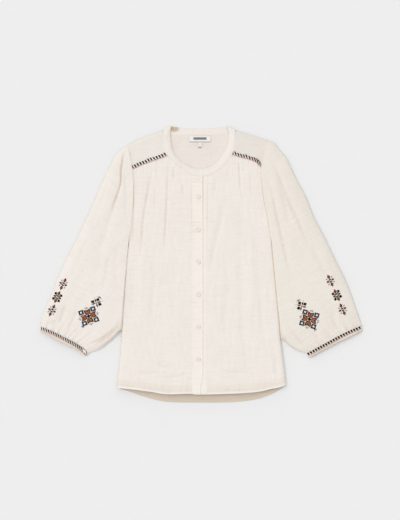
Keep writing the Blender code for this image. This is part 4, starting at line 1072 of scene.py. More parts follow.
def strip_shell(name, x_left, x_right, drop, near_hem, edge_painted_shade):
    """A long strip down the front, doubled, with rounded edges and stitched puckers."""
    t = even_runs((0.0, 0.05, 5), (0.08, 0.92, 22), (0.95, 1.0, 5))
    s = np.linspace(0.0, 1.0, 260)
    outer = strip_surface(x_left, x_right, drop, near_hem, s, t)
    width = x_right - x_left
    reach = np.minimum(t, 1.0 - t)[None, :] * width
    y = outer[..., 1]
    pucker = 0.12 * np.sin(y / 1.9) * bell(reach - 2.4, 1.2)
    groove = 0.22 * bell(reach - 2.4, 0.7)
    roll = 0.2 * (1.0 - rounded(reach / 1.4))
    wander = ripple(outer[..., :2], 77, size=0.22, length=30.0)
    outer[..., 2] += pucker - groove - roll + wander
    from_hem = span(outer[..., :2], outer[-1:, :, :2])
    outer[..., 2] += hem_turn(from_hem, outer[..., 0])
    inner = outer.copy()
    inner[..., 2] = outer[..., 2] - SHELL
    from_right = (1.0 - t)[None, :] * width
    near_neck = smooth((y - 90.0) / 90.0)
    # Painted shade in tan along the strip's right edge, stronger towards the neck, with a white
    # painted highlight just inside it and painted shade in the stitched creases.
    painted_shading = edge_painted_shade * (1.0 + 1.5 * near_neck) * bell(from_right, 1.4)
    painted_shading = painted_shading - 0.3 * bell(from_right - 3.2, 1.6) * (edge_painted_shade > 0)
    painted_shading = painted_shading * np.ones(outer.shape[:2])
    for height in CREASES:
        painted_shading = painted_shading + 0.3 * bell(y - height, 1.0) * (edge_painted_shade > 0)
    return shell(name, outer, inner, BAND_GAUZE, plan_measure(outer), painted_shading)


def band_profile(across):
    """Rounded edges and two stitched grooves over the neckband's width."""
    reach = np.minimum(across, 1.0 - across) * NECKBAND_WIDTH
    groove = 0.2 * bell(reach - 2.2, 0.7)
    roll = 0.25 * (1.0 - rounded(reach / 1.5))
    return -groove - roll


def neckband_shell():
    """The strip round the neck: over the front, round the shoulders and along the back."""
    front_share = NECK.share_at_x(PLACKET_RIGHT)
    under_share = NECK.share_at_x(BAND_LEFT)
    across = np.concatenate([[0.0, 0.03, 0.07, 0.12], np.linspace(0.18, 0.82, 12),
                             [0.88, 0.93, 0.97, 1.0]])
    profile = band_profile(across)
    rulings = []
    outs = []

    def ruling(seam, free, z, out, drawn_in=-0.2, fall=0.0):
        step = (free - seam) / np.linalg.norm(free - seam)
        seam = seam + step * drawn_in
        plan = seam[None, :] + (free - seam)[None, :] * across[:, None]
        line = np.column_stack([plan, z - fall * across ** 2])
        rulings.append(line + profile[:, None] * out[None, :])
        outs.append(out)

    def corner(seam, free, sign):
        line = (free - seam) / np.linalg.norm(free - seam)
        away = np.array([-line[1], line[0]]) * sign
        turns = np.linspace(0.0, np.pi, 15)
        for turn in turns if sign > 0 else turns[::-1]:
            bulge = away * NECK_FOLD_RADIUS * np.sin(turn)
            height = NECK_FOLD_RADIUS * (1.0 + np.cos(turn))
            out = np.append(away * np.sin(turn), np.cos(turn))
            ruling(seam + bulge, free + bulge, height, out, 1.0)

    def upper(share, rise):
        seam = NECK.at(share)
        ends = smooth(min(share, 1.0 - share) * NECK.length / 20.0)
        z = front_height(*seam) * ends + 2 * NECK_FOLD_RADIUS * (1.0 - ends) + rise
        z += 0.25 * math.sin(share * 47.0) * ends
        ruling(seam, NECK_FREE.at(share), z, UP, fall=NECK_FALL * ends)

    for share in np.linspace(front_share, 0.02, 90):
        upper(share, 0.1 * smooth((share - front_share + 0.08) / 0.08))
    corner(NECK.at(0.0), NECK_FREE.at(0.0), 1)
    for share in np.linspace(0.04, 0.96, 60):
        ruling(BACK_NECK.at(share), BACK_NECK_FREE.at(share), 0.1, DOWN)
    corner(NECK.at(1.0), NECK_FREE.at(1.0), -1)
    for share in np.linspace(0.98, front_share + 0.01, 88):
        low = smooth((front_share + 0.05 - share) / 0.035)
        upper(share, -0.35 * low)
    for share in np.linspace(front_share - 0.004, under_share, 8):
        upper(share, -0.65)
    grid = np.array(rulings)
    normals = np.array(outs)[:, None, :] * np.ones((1, len(across), 1))
    uv = cloth_measure(grid)
    on_back = grid[..., 2] < 2.0
    # Painted shade in greige on the band's inner side at its back corner and along its seam edge; a
    # white painted highlight at the band's end over the placket, against the shade of its step.
    corner_reach = np.hypot((grid[..., 0] + 66.0) / 12.0, (grid[..., 1] - 331.0) / 8.0)
    painted_shading = 1.2 * np.exp(-corner_reach ** 4) * on_back
    painted_shading = painted_shading + 0.1 * bell(across * NECKBAND_WIDTH, 1.2)[None, :]
    from_end = np.arange(len(grid))[:, None]
    painted_shading = painted_shading - 0.3 * bell(from_end, 2.0)
    thick = SHELL * (0.45 + 0.55 * smooth(from_end / 8.0))[..., None]
    return shell("neckband", grid, grid - normals * thick, NECK_GAUZE, uv[..., ::-1], painted_shading)


class Sleeve:
    """One balloon sleeve as rings: along from the armhole to the cuff, round the arm."""

    def __init__(self, side, outer, inner, cuff_seam, cuff_edge, folds, lines):
        self.side = side
        self.outer = Curve(outer)
        self.inner = Curve(inner)
        self.cuff_seam = Curve(cuff_seam)
        self.cuff_edge = Curve(cuff_edge)
        self.folds = folds
        self.lines = lines

    def plan(self, s, across):
        """Plan points, closed up to the body's side seam where the gap is small."""
        plan = patch(self.side.armhole.at, self.cuff_seam.at, self.outer.at, self.inner.at,
                     s, across)
        edge = self.inner.at(s)
        seam = self.side.side.at(np.linspace(1.0, 0.0, 200))
        apart = self.side.sign * (edge[:, 0] - np.interp(edge[:, 1], seam[:, 1], seam[:, 0]))
        reach = (apart - SIDE_GAP) * smooth((9.0 - apart) / 4.0)
        reach = reach * smooth((self.inner.at(0.0)[1] - edge[:, 1]) / 34.0)
        plan[..., 0] -= self.side.sign * reach[:, None] * smooth((across - 0.6) / 0.4)[None, :]
        return plan

    def upper_z(self, plan, s, across):
        """Height of the top layer, with its folds and gathers, and the tan shade painted on it."""
        heights = np.array(SLEEVE_HEIGHT)
        rounds = np.array(SLEEVE_ROUND)
        high = np.interp(s, heights[:, 0], heights[:, 1])[:, None]
        outer_reach = np.interp(s, rounds[:, 0], rounds[:, 1])[:, None]
        inner_reach = np.interp(s, [0.0, 0.65, 0.82, 1.0], [8.0, 8.0, 28.0, 20.0])[:, None]
        width = span(plan[:, :1], plan[:, -1:])
        reach = np.minimum(across[None, :] * width / outer_reach,
                           (1.0 - across)[None, :] * width / inner_reach)
        from_cuff = span(plan, plan[-1:])
        from_arm = span(plan, plan[:1])
        sign = self.side.sign
        cuff_rows = gather_rows(3 + sign, count=13, depth=1.1, reach=20.0, low=0.05, high=0.95,
                                wide=2.6)
        cap_rows = gather_rows(8 + sign, count=6, depth=0.5, reach=40.0, low=0.05, high=0.5,
                               wide=3.0)
        gathered = gathers(across, from_cuff, 134.0, cuff_rows)
        eased = gathers(across, from_arm, 230.0, cap_rows) * smooth(from_arm / 12.0)
        high = high - gathered - eased - fold_depth(plan, self.folds)
        turned = self.turned(plan)
        calm = smooth(np.minimum(from_cuff, from_arm) / 30.0)
        high = high + ripple(turned * np.array([1.0, 0.3]), 15 + sign, size=0.55, length=34.0) * calm
        high = high + ripple(turned, 25 + sign, size=0.45, length=60.0) * calm
        high = high + ripple(turned, 27 + sign, size=0.12, length=15.0) * calm
        high = high - 0.1 * smooth((2.0 - from_arm) / 2.0) - 0.4 * smooth((1.6 - from_cuff) / 1.6)
        # Painted shade in tan along the folds, fold lines and gathers, and along the seams where the
        # sleeve meets the body.
        painted_shading = fold_depth(plan, fold_painted_shade(self.folds) + self.lines) + 0.12 * gathered
        at_body = bell((1.0 - across)[None, :] * width, 1.8)
        at_body = at_body * beside_sleeve(self.inner.at(s)[:, 1])[:, None]
        at_armhole = bell(from_arm, 1.8) * smooth((across - 0.35) / 0.1)[None, :]
        painted_shading = painted_shading + SEAM_PAINTED_SHADE[float(sign)] * np.maximum(at_body, at_armhole)
        low = self.edge_level(s, across)
        return low + (high - low) * rounded(reach), painted_shading

    def edge_level(self, s, across):
        """How high the sleeve's edges lie: higher where the inner edge meets the body."""
        beside = beside_sleeve(self.inner.at(s)[:, 1])[:, None]
        return EDGE_LOW + BESIDE_RAISE * beside * smooth((across - 0.5) / 0.3)[None, :]

    def turned(self, plan):
        """Plan places with the arm's direction along the second coordinate."""
        angle = ARM_TURN_RIGHT if self.side.sign < 0 else ARM_TURN_LEFT
        along = plan[..., 0] * math.cos(angle) + plan[..., 1] * math.sin(angle)
        aside = plan[..., 0] * math.sin(angle) - plan[..., 1] * math.cos(angle)
        return np.stack([aside, along], axis=-1)


SLEEVES = {
    "right": Sleeve(RIGHT, RIGHT_SLEEVE_OUTER, RIGHT_SLEEVE_INNER, RIGHT_CUFF_SEAM,
                    RIGHT_CUFF_EDGE, RIGHT_SLEEVE_FOLDS, RIGHT_SLEEVE_LINES),
    "left": Sleeve(LEFT, LEFT_SLEEVE_OUTER, LEFT_SLEEVE_INNER, LEFT_CUFF_SEAM,
                   LEFT_CUFF_EDGE, LEFT_SLEEVE_FOLDS, LEFT_SLEEVE_LINES),
}


def ring_shares(width, top_columns, bottom_columns):
    """Shares round a tube: across its top, then back across its under half."""
    turn = np.linspace(0.0, math.pi / 2, 9)
    edge = 14.0 * (1.0 - np.cos(turn)) / width
    middle = np.linspace(edge[-1], 1.0 - edge[-1], top_columns - 16)[1:-1]
    top = np.concatenate([edge, middle, 1.0 - edge[::-1]])
    near = EDGE_ROUND_BACK * (1.0 - np.cos(turn[1:])) / width
    inside = np.linspace(near[-1], 1.0 - near[-1], bottom_columns - 14)[1:-1]
    under = np.concatenate([near, inside, 1.0 - near[::-1]])
    return top, under[::-1]


def ring_shell(made, name, plan_top, top_z, plan_under, under, level, finish, painted_shading):
    """A tube of cloth from its top and its under half, drawn out to the seam at both ends."""
    both = np.concatenate([plan_top, plan_under], axis=1)
    runs = {row: both[inner] - both[row] for row, inner in ((0, 1), (-1, -2))}
    for row, run in runs.items():
        step = unit(run) * SEAM_DRAW
        plan_top[row] += step[:plan_top.shape[1]]
        plan_under[row] += step[plan_top.shape[1]:]
    width = span(plan_top[:, :1], plan_top[:, -1:])
    reach = np.minimum(under, 1.0 - under)[None, :] * width
    z = level * (1.0 - rounded(reach / EDGE_ROUND_BACK)) + TABLE_GAP
    grid = np.concatenate([with_height(plan_top, top_z), with_height(plan_under, z)], axis=1)
    normals = surface_normals(grid, closed=True)
    if normals[len(grid) // 2, plan_top.shape[1] // 2, 2] < 0:
        normals = -normals
    normals[grid[..., 2] < TABLE_GAP + 0.001] = DOWN
    for row, run in runs.items():
        normals[row] = level_out(normals[row], run)
    return shell(name + " " + made.side.name, grid, grid - normals * SHELL, finish,
                 made.turned(grid[..., :2]) * MM, painted_shading, closed=True)


def sleeve_shell(made):
    top, under = ring_shares(150.0, 150, 40)
    s = even_runs((0.0, 0.02, 6), (0.03, 0.97, 140), (0.977, 1.0, 7))
    plan_top = made.plan(s, top)
    plan_under = made.plan(s, under)
    z, painted_shading = made.upper_z(plan_top, s, top)
    painted_shading = np.concatenate([painted_shading, np.zeros(plan_under.shape[:2])], axis=1)
    return ring_shell(made, "sleeve", plan_top, z, plan_under, under, made.edge_level(s, under),
                      GAUZE if made.side.sign < 0 else SHADED_SIDE_GAUZE, painted_shading)


def cuff_plan(made, s, across):
    seam = made.cuff_seam.at(across)
    edge = made.cuff_edge.at(across)
    return seam[None] + (edge - seam)[None] * s[:, None, None]


def cuff_shell(made):
    top, under = ring_shares(130.0, 90, 36)
    s = np.linspace(0.0, 1.0, 16)
    plan_top = cuff_plan(made, s, top)
    width = np.linalg.norm(made.cuff_seam.at(0.0) - made.cuff_seam.at(1.0))
    reach = np.minimum(top, 1.0 - top) * width
    z = EDGE_LOW + (CUFF_HEIGHT - EDGE_LOW) * rounded(reach / CUFF_ROUND)
    z = z[None] * np.ones((len(s), 1))
    z = z + 0.1 * ripple(plan_top, 91, size=1.0, length=12.0) - 0.6 * smooth((s - 0.9) / 0.1)[:, None]
    # Painted shade in tan over the cuff's lower part, darkest at its edge.
    return ring_shell(made, "cuff", plan_top, z, cuff_plan(made, s, under), under, EDGE_LOW,
                      GAUZE, 0.55 * smooth((s - 0.55) / 0.45)[:, None])


# What lies on the cloth

class Cloth:
    """Finds a shown piece's upper surface under a plan place."""

    def __init__(self, *pieces):
        self.trees = []
        for piece in pieces:
            mesh = piece.data
            points = [v.co.copy() for v in mesh.vertices]
            faces = [tuple(p.vertices) for p in mesh.polygons]
            self.trees.append(BVHTree.FromPolygons(points, faces))

    def drop(self, plan):
        """Place and normal in metres under a plan place in millimetres, or None."""
        start = Vector(placed((plan[0], plan[1], 60.0)))
        best = None
        for tree in self.trees:
            hit = tree.ray_cast(start, Vector((0.0, 0.0, -1.0)))
            if hit[0] is not None and (best is None or hit[0].z > best[0].z):
                best = (hit[0], hit[1])
        if best is not None and best[1].z < 0:
            best = (best[0], -best[1])
        return best

    def stitch(self, start, end):
        """A stitch laid between two plan places: its two ends and a normal, or None."""
        spots = [self.drop(start), self.drop(end)]
        if None in spots:
            return None
        return spots[0][0], spots[1][0], (spots[0][1] + spots[1][1]).normalized()


def thread_tree(name, finish):
    """Geometry nodes: one thread stitch on each point, turned and stretched by attributes."""
    tree = bpy.data.node_groups.new(name, "GeometryNodeTree")
    face = tree.interface
    face.new_socket("Geometry", in_out="INPUT", socket_type="NodeSocketGeometry")
    width, height, uneven = [
        face.new_socket(title, in_out="INPUT", socket_type="NodeSocketFloat")
        for title in ("Thread width", "Thread height", "Unevenness")]
    face.new_socket("Geometry", in_out="OUTPUT", socket_type="NodeSocketGeometry")

    def node(kind, settings=None, inputs=None):
        """The outputs of a new node. What goes into it is a value or an output."""
        made = tree.nodes.new(kind)
        for key, value in (settings or {}).items():
            setattr(made, key, value)
        for key, value in (inputs or {}).items():
            if isinstance(value, bpy.types.NodeSocket):
                tree.links.new(value, made.inputs[key])
            else:
                made.inputs[key].default_value = value
        return made.outputs

    given = node("NodeGroupInput")
    stitch = node("GeometryNodeMeshUVSphere", {}, {"Segments": 6, "Rings": 5, "Radius": 0.5})
    length = node("GeometryNodeInputNamedAttribute", {"data_type": "FLOAT"}, {"Name": "length"})
    turn = node("GeometryNodeInputNamedAttribute", {"data_type": "FLOAT_VECTOR"},
                {"Name": "turn"})
    rotation = node("FunctionNodeEulerToRotation", {}, {0: turn["Attribute"]})
    vary = node("FunctionNodeRandomValue", {"data_type": "FLOAT"}, {2: -1.0, 3: 1.0, "Seed": 7})
    swing = node("ShaderNodeMath", {"operation": "MULTIPLY"},
                 {0: vary[1], 1: given["Unevenness"]})
    grown = node("ShaderNodeMath", {"operation": "MULTIPLY_ADD"},
                 {0: swing[0], 1: given["Thread width"], 2: given["Thread width"]})
    size = node("ShaderNodeCombineXYZ", {}, {
        "X": length["Attribute"], "Y": grown[0], "Z": given["Thread height"]})
    place = node("GeometryNodeInstanceOnPoints", {}, {
        "Points": given["Geometry"], "Instance": stitch["Mesh"], "Rotation": rotation[0],
        "Scale": size[0]})
    real = node("GeometryNodeRealizeInstances", {}, {0: place["Instances"]})
    dress = node("GeometryNodeSetMaterial", {}, {"Geometry": real[0], "Material": finish})
    node("NodeGroupOutput", {}, {"Geometry": dress["Geometry"]})
    return tree, {"width": width.identifier, "height": height.identifier,
                  "uneven": uneven.identifier}


def sewn(name, stitches, finish, width, height, uneven=0.12):
    """One piece from many stitches. A stitch is its two ends and a normal, in metres."""
    mesh = bpy.data.meshes.new(name)
    middles = []
    lengths = []
    turns = []
    for start, end, normal in stitches:
        run = end - start
        across = normal.cross(run).normalized()
        along = run.normalized()
        up = along.cross(across)
        turns.append(Matrix((along, across, up)).transposed().to_euler())
        lengths.append(run.length * 1.15)
        middles.append((start + end) / 2 + normal * height * 0.25)
    mesh.from_pydata([tuple(m) for m in middles], [], [])
    mesh.attributes.new("length", "FLOAT", "POINT").data.foreach_set("value", lengths)
    flat = [angle for turn in turns for angle in turn]
    mesh.attributes.new("turn", "FLOAT_VECTOR", "POINT").data.foreach_set("vector", flat)
    made = linked(name, mesh)
    tree, names = thread_tree(name + " nodes", finish)
    modifier = made.modifiers.new("stitches", "NODES")
    modifier.node_group = tree
    modifier[names["width"]] = width
    modifier[names["height"]] = height
    modifier[names["uneven"]] = uneven
    graph = bpy.context.evaluated_depsgraph_get()
    result = bpy.data.meshes.new_from_object(made.evaluated_get(graph), depsgraph=graph)
    made.modifiers.clear()
    made.data = result
    result.shade_smooth()
    return made


def satin(corners, angle, pitch):
    """Parallel stitches that fill a convex outline, as pairs of chart points."""
    turn = math.radians(angle)
    along = np.array([math.cos(turn), math.sin(turn)])
    across = np.array([-math.sin(turn), math.cos(turn)])
    ring = np.array(corners, float)
    low = (ring @ across).min()
    high = (ring @ across).max()
    count = max(1, round((high - low) / pitch))
    step = (high - low) / count
    pairs = []
    for i in range(count):
        level = low + step * (i + 0.5)
        hits = []
        for a, b in zip(ring, np.roll(ring, -1, axis=0)):
            da = a @ across - level
            db = b @ across - level
            if (da < 0) != (db < 0):
                spot = a + (b - a) * (da / (da - db))
                hits.append(spot @ along)
        if len(hits) >= 2:
            start = along * min(hits) + across * level
            end = along * max(hits) + across * level
            if np.linalg.norm(end - start) > 0.4:
                pairs.append((start, end))
    return pairs


def turned_chart(points, angle, x=0.0, y=0.0):
    """Chart points turned by an angle in degrees, then moved."""
    c = math.cos(math.radians(angle))
    s = math.sin(math.radians(angle))
    return [(a * c - b * s + x, a * s + b * c + y) for a, b in points]


def block(x, y, wide, tall):
    return [(x - wide / 2, y - tall / 2), (x + wide / 2, y - tall / 2),
            (x + wide / 2, y + tall / 2), (x - wide / 2, y + tall / 2)]


def diamond(x, y, wide, tall):
    return [(x, y - tall / 2), (x + wide / 2, y), (x, y + tall / 2), (x - wide / 2, y)]


def sprig(distance, turn, length):
    """Grey-blue stitches that fan out from a point, like a small feather."""
    lines = []
    for lean, share, aside in ((0, 1.0, 0.0), (38, 0.8, 0.9), (-38, 0.8, -0.9)):
        leaf = diamond(0.0, length * share / 2, 2.3, length * share)
        leaf = turned_chart(leaf, -lean, aside, distance)
        lines += satin(turned_chart(leaf, turn), turn + 90 - lean, 0.75)
    return lines


def star_chart():
    """The big eight-pointed star with the small rosette above it: thread to stitches."""
    chart = {thread: [] for thread in THREADS}
    lobe = [(0.0, 2.8), (0.0, 16.0), (3.3, 17.3), (7.5, 19.6), (8.1, 14.0), (7.0, 9.0),
            (4.3, 4.6)]
    core = [(1.5, 6.4), (1.5, 13.8), (4.6, 15.6), (4.6, 8.8)]
    for quarter in range(4):
        turn = 45 + 90 * quarter
        for mirror in (1, -1):
            leaf = [(x * mirror, y) for x, y in lobe]
            heart = [(x * mirror, y) for x, y in core]
            chart["brown"] += satin(turned_chart(leaf, turn), turn + 90 - 28 * mirror, 0.7)
            chart["orange"] += satin(turned_chart(heart, turn), turn + 90, 0.7)
        chart["grey"] += sprig(18.6, turn, 7.4)
        middle = turned_chart([(0.0, 20.6)], 90 * quarter)[0]
        for k in range(4):
            bar = turned_chart(block(1.8, 4.1, 8.2, 3.8), 45 + 90 * k, *middle)
            chart["slate"] += satin(bar, 135 + 90 * k, 0.7)
        pale = turned_chart(block(0.0, 0.0, 4.0, 4.0), 45, *middle)
        chart["white"] += satin(pale, 45, 0.8)
    chart["navy"] += satin(turned_chart(diamond(0.0, 0.0, 10.0, 10.0), 45), 0, 0.65)
    chart["slate"] += sprig(27.4, 180, 6.0)
    height = 37.0
    for turn in (4, 94, 274):
        x, y = turned_chart([(0.0, 9.2)], turn)[0]
        dot = turned_chart(block(0.0, 0.0, 7.0, 7.0), 45, x, y + height)
        chart["navy"] += satin(dot, turn, 0.65)
    chart["orange"] += satin(diamond(0.0, height, 4.0, 4.0), 45, 0.75)
    for quarter in range(4):
        leaf = turned_chart(diamond(0.0, 6.6, 4.4, 11.4), 45 + 90 * quarter, 0.0, height)
        chart["brown"] += satin(leaf, 45 + 90 * quarter + 70, 0.7)
    chart["slate"] += sprig(height + 14.0, 0, 5.6)
    for side in (1, -1):
        for x, y in ((5.4, 13.0), (10.4, 8.6)):
            fleck = turned_chart(diamond(0.0, 1.6, 1.8, 3.6), 0, x * side, height + y)
            chart["grey"] += satin(fleck, 90, 0.75)
    return chart


def spray_chart(ringed):
    """One of the three small motifs beside the star."""
    chart = {thread: [] for thread in THREADS}
    for sign in (1, -1):
        chart["brown"] += satin(diamond(0.0, 9.8 * sign, 9.0, 13.0), 0, 0.7)
        chart["orange"] += satin(diamond(0.0, 9.8 * sign, 2.0, 5.0), 0, 0.75)
        chart["brown"] += satin(diamond(6.8 * sign, 0.0, 8.4, 6.4), 90, 0.7)
        chart["slate"] += satin(block(0.0, 2.4 * sign, 3.2, 3.6), 90, 0.75)
        for side in (1, -1):
            x, y = 7.3 * side, 7.0 * sign
            if ringed:
                knot = block(*turned_chart([(x, y)], -20)[0], 6.2, 5.8)
                chart["navy"] += satin(turned_chart(knot, 20), 20, 0.65)
                chart["brown"] += satin(diamond(3.2 * side, 3.4 * sign, 5.0, 5.0), 0, 0.7)
            else:
                turn = -45 * side * sign
                leaf = turned_chart(diamond(0.0, 0.0, 3.4, 6.6), turn, x * 0.95, y * 0.95)
                chart["grey"] += satin(leaf, 45, 0.75)
                dot = turned_chart(diamond(0.0, 0.0, 2.6, 5.0), turn, 2.6 * side, 2.6 * sign)
                chart["brown"] += satin(dot, 0, 0.75)
    return chart


def lay_chart(chart, centre, angle, cloth, found):
    """Adds a chart's stitches, laid on the cloth, to the lists in found."""
    cross = CROSS_TURN_RIGHT if centre[0] < 0 else CROSS_TURN_LEFT
    up = np.array([math.cos(angle), math.sin(angle)])
    aside = np.array([math.cos(cross), math.sin(cross)])
    for thread, pairs in chart.items():
        for pair in pairs:
            ends = [np.array(centre) + aside * point[0] + up * point[1] for point in pair]
            stitch = cloth.stitch(*ends)
            if stitch is not None:
                start, end, normal = stitch
                lift = normal * LIFTS.get(thread, 0.0)
                found[thread].append((start + lift, end + lift, normal))


LIFTS = {"orange": 0.00045, "white": 0.0001}     # metres over the other threads
THREADS = {"brown": BROWN, "orange": ORANGE, "navy": NAVY, "slate": SLATE,
           "white": WHITE_THREAD, "grey": GREY_BLUE}


def embroider(side_name, cloth):
    """All the motifs of one sleeve, one piece for each thread."""
    found = {thread: [] for thread in THREADS}
    right = side_name == "right"
    angle = ARM_TURN_RIGHT if right else ARM_TURN_LEFT
    lay_chart(star_chart(), STAR_RIGHT if right else STAR_LEFT, angle, cloth, found)
    for number, spot in enumerate(SPRAYS_RIGHT if right else SPRAYS_LEFT):
        tilt = math.radians(4.0 if right else -5.0)
        lay_chart(spray_chart(number == 1), spot, angle + tilt, cloth, found)
    made = []
    for thread, stitches in found.items():
        name = "embroidery " + thread + " " + side_name
        made.append(sewn(name, stitches, THREADS[thread], *FLOSS))
    return made


def running_stitches(lines, cloth, length, pitch):
    """Running stitches along plan lines, laid on the cloth."""
    stitches = []
    for line in lines:
        path = Curve(line, steps=4)
        count = int(path.length // pitch)
        for i in range(count):
            start = (i + 0.2) * pitch / path.length
            ends = path.at(np.array([start, start + length / path.length]))
            stitch = cloth.stitch(*ends)
            if stitch is not None:
                stitches.append(stitch)
    return stitches


def settle(cloth, plan, heart):
    """The cloth under a place, or under the first place on the way to the heart."""
    for k in np.linspace(0.0, 0.2, 41):
        hit = cloth.drop(plan + (heart - plan) * k)
        if hit is not None:
            return hit
    return None


def bar_ends(cloth, centre, half):
    """The first and last place of a slanted bar that still lies on the ribbon."""
    hits = [cloth.drop(centre + half * k) for k in np.linspace(-1.0, 1.0, 9)]
    hits = [hit for hit in hits if hit is not None]
    if len(hits) < 3:
        return None
    normal = (hits[0][1] + hits[-1][1]).normalized()
    return hits[0][0], hits[-1][0], normal


def trim_pieces(name, low_line, high_line, cloth, bar_angle, pitch, dark=4):
    """A woven trim: a pale ribbon, slanted navy bars, pale bars and a rust edge."""
    grid = []
    heart = (high_line[len(high_line) // 2] + low_line[len(low_line) // 2]) / 2
    for k in np.linspace(0.0, 1.0, 7):
        line = []
        for a, b in zip(high_line, low_line):
            spot = settle(cloth, a + (b - a) * k, heart)
            line.append(np.array(spot[0]) / MM - SHIFT)
        grid.append(line)
    base = np.array(grid)
    base[..., 2] += RIBBON_LIFT
    top = base.copy()
    top[..., 2] += RIBBON_THICK
    ribbon = shell(name + " ribbon", top, base, BAND_GAUZE, plan_measure(top))
    on_ribbon = Cloth(ribbon)
    middle = Curve((high_line + low_line) / 2, steps=4)
    width = span(high_line, low_line).mean()
    threads = {"navy": [], "pale": [], "rust": [], "blue": []}
    lean = np.array([math.cos(math.radians(bar_angle)), math.sin(math.radians(bar_angle))])
    count = int(round(middle.length / pitch))
    thread = middle.length / (count * BAR_THREADS)
    for i in range(-BAR_THREADS, (count + 1) * BAR_THREADS):
        way = (i + 0.5) * thread
        share = min(max(way / middle.length, 0.0), 1.0)
        run = middle.at(min(share + 0.02, 1.0)) - middle.at(max(share - 0.02, 0.0))
        run /= np.linalg.norm(run)
        centre = middle.at(share) + run * (way - share * middle.length)
        across = np.array([-run[1], run[0]])
        half = lean * min(0.5 * width / abs(lean @ across), 9.0)
        bar = bar_ends(on_ribbon, centre, half)
        if bar is None:
            continue
        start, end, normal = bar
        place = i % BAR_THREADS
        if place < dark:
            threads["navy"].append(bar)
        elif place in (dark + 1, 6):
            threads["pale"].append(bar)
        raised = normal * 0.0004
        if place in (1, 2, 3):
            threads["rust"].append((start + (end - start) * 0.68 + raised, end + raised, normal))
        if place == 6:
            threads["blue"].append((start + raised, start + (end - start) * 0.4 + raised, normal))
    edge_line = low_line + (high_line - low_line) * 0.04
    threads["rust"] += running_stitches([edge_line], on_ribbon, 2.4, 3.4)
    colours = {"navy": NAVY, "pale": WHITE_THREAD, "rust": ORANGE, "blue": GREY_BLUE}
    run = middle.at(1.0) - middle.at(0.0)
    lie = abs(lean[0] * run[1] - lean[1] * run[0]) / middle.length
    widths = {"navy": thread * lie * 1.6, "pale": thread * lie * 1.3, "rust": 1.1, "blue": 0.7}
    made = [ribbon]
    for key, stitches in threads.items():
        made.append(sewn(name + " " + key, stitches, colours[key], widths[key] * MM, 0.0007))
    return made


def yoke_trim(side, cloth):
    t = np.linspace(0.012, 0.995, 40)
    seam = yoke_surface(side, np.linspace(0.0, 1.0, 200), t)[-1, :, :2]
    run = np.gradient(seam, axis=0)
    across = np.stack([-run[:, 1], run[:, 0]], axis=-1)
    across *= -side.sign / np.linalg.norm(across, axis=-1, keepdims=True)
    low = seam + across * 0.8
    high = seam + across * TRIM_WIDTH
    if side.sign > 0:
        return trim_pieces("yoke trim left", low[::-1], high[::-1], cloth,
                           bar_angle=-72.0, pitch=7.1)
    return trim_pieces("yoke trim right", low, high, cloth, bar_angle=-58.0, pitch=7.1)


def cuff_trim(made, cloth):
    across = np.linspace(0.012, 0.988, 60)
    plan = cuff_plan(made, np.array([0.0, 1.0]), across)
    high = plan[0]
    low = plan[1]
    down = (low - high) / np.linalg.norm(high - low, axis=-1, keepdims=True)
    low = high + down * CUFF_TRIM_WIDTH
    high = high + down * 0.3
    if made.side.sign > 0:
        return trim_pieces("cuff trim left", low[::-1], high[::-1], cloth,
                           bar_angle=-56.0, pitch=6.9, dark=5)
    return trim_pieces("cuff trim right", low, high, cloth, bar_angle=-76.0, pitch=6.6)


def lathe(name, centre, profile, turns, finish):
    """A turned shape from radius and height rows, the first and last on its axis."""
    points = []
    for radius, height in profile[1:-1]:
        for i in range(turns):
            angle = 2 * math.pi * i / turns
            points.append(centre + np.array([radius * math.cos(angle),
                                             radius * math.sin(angle), height]))
    rings = len(profile) - 2
    faces = []
    for k in range(rings - 1):
        for i in range(turns):
            j = (i + 1) % turns
            faces.append((k * turns + i, k * turns + j, (k + 1) * turns + j,
                          (k + 1) * turns + i))
    low = len(points)
    points += [centre + UP * profile[0][1], centre + UP * profile[-1][1]]
    for i in range(turns):
        j = (i + 1) % turns
        faces.append((low, j, i))
        faces.append((low + 1, (rings - 1) * turns + i, (rings - 1) * turns + j))
    return mesh_object(name, placed(np.array(points)), faces, finish)


# Radius and height
BUTTON_PROFILE = [
    (0.0, 0.0), (3.6, 0.0), (4.6, 0.25), (5.0, 0.7), (5.2, 1.2), (5.12, 1.7), (4.85, 2.1),
    (4.4, 2.3), (3.95, 2.22), (3.55, 1.95), (3.2, 1.72), (2.8, 1.62), (1.2, 1.58), (0.0, 1.58),
]
HOLE_PROFILE = [(0.0, 0.0), (0.5, 0.0), (0.5, 0.1), (0.0, 0.1)]
HOLE_REACH = 1.25
HOLE_LEVEL = 1.52
THREAD_LEVEL = 1.72


def button(number, cloth):
    """A shell button with a raised rim, four holes shown as small dark discs of painted shade, and
    its thread cross.
    """
    y = BUTTON_TOP_Y - BUTTON_PITCH * (number - 1)
    spot = cloth.drop((BUTTON_X, y))
    base = spot[0].z / MM + 0.2
    centre = np.array([BUTTON_X, y, base])
    disc = lathe("button " + str(number), centre, BUTTON_PROFILE, 40, BUTTON_FINISH)
    holes = []
    threads = []
    for i in range(4):
        angle = math.radians(45 + 90 * i + 7 * number)
        away = np.array([math.cos(angle), math.sin(angle), 0.0]) * HOLE_REACH
        # Each hole is a thin disc in a darker colour: painted shade where the hole would sink in.
        holes.append(lathe("hole", centre + away + UP * HOLE_LEVEL, HOLE_PROFILE, 12,
                           HOLE_SHADE))
        if i < 2:
            ends = [Vector(placed(centre + way + UP * THREAD_LEVEL)) for way in (away, -away)]
            threads.append((*ends, Vector(UP)))
    thread = sewn("button thread " + str(number), threads, WHITE_THREAD, 0.0007, 0.0005)
    return disc, holes, thread


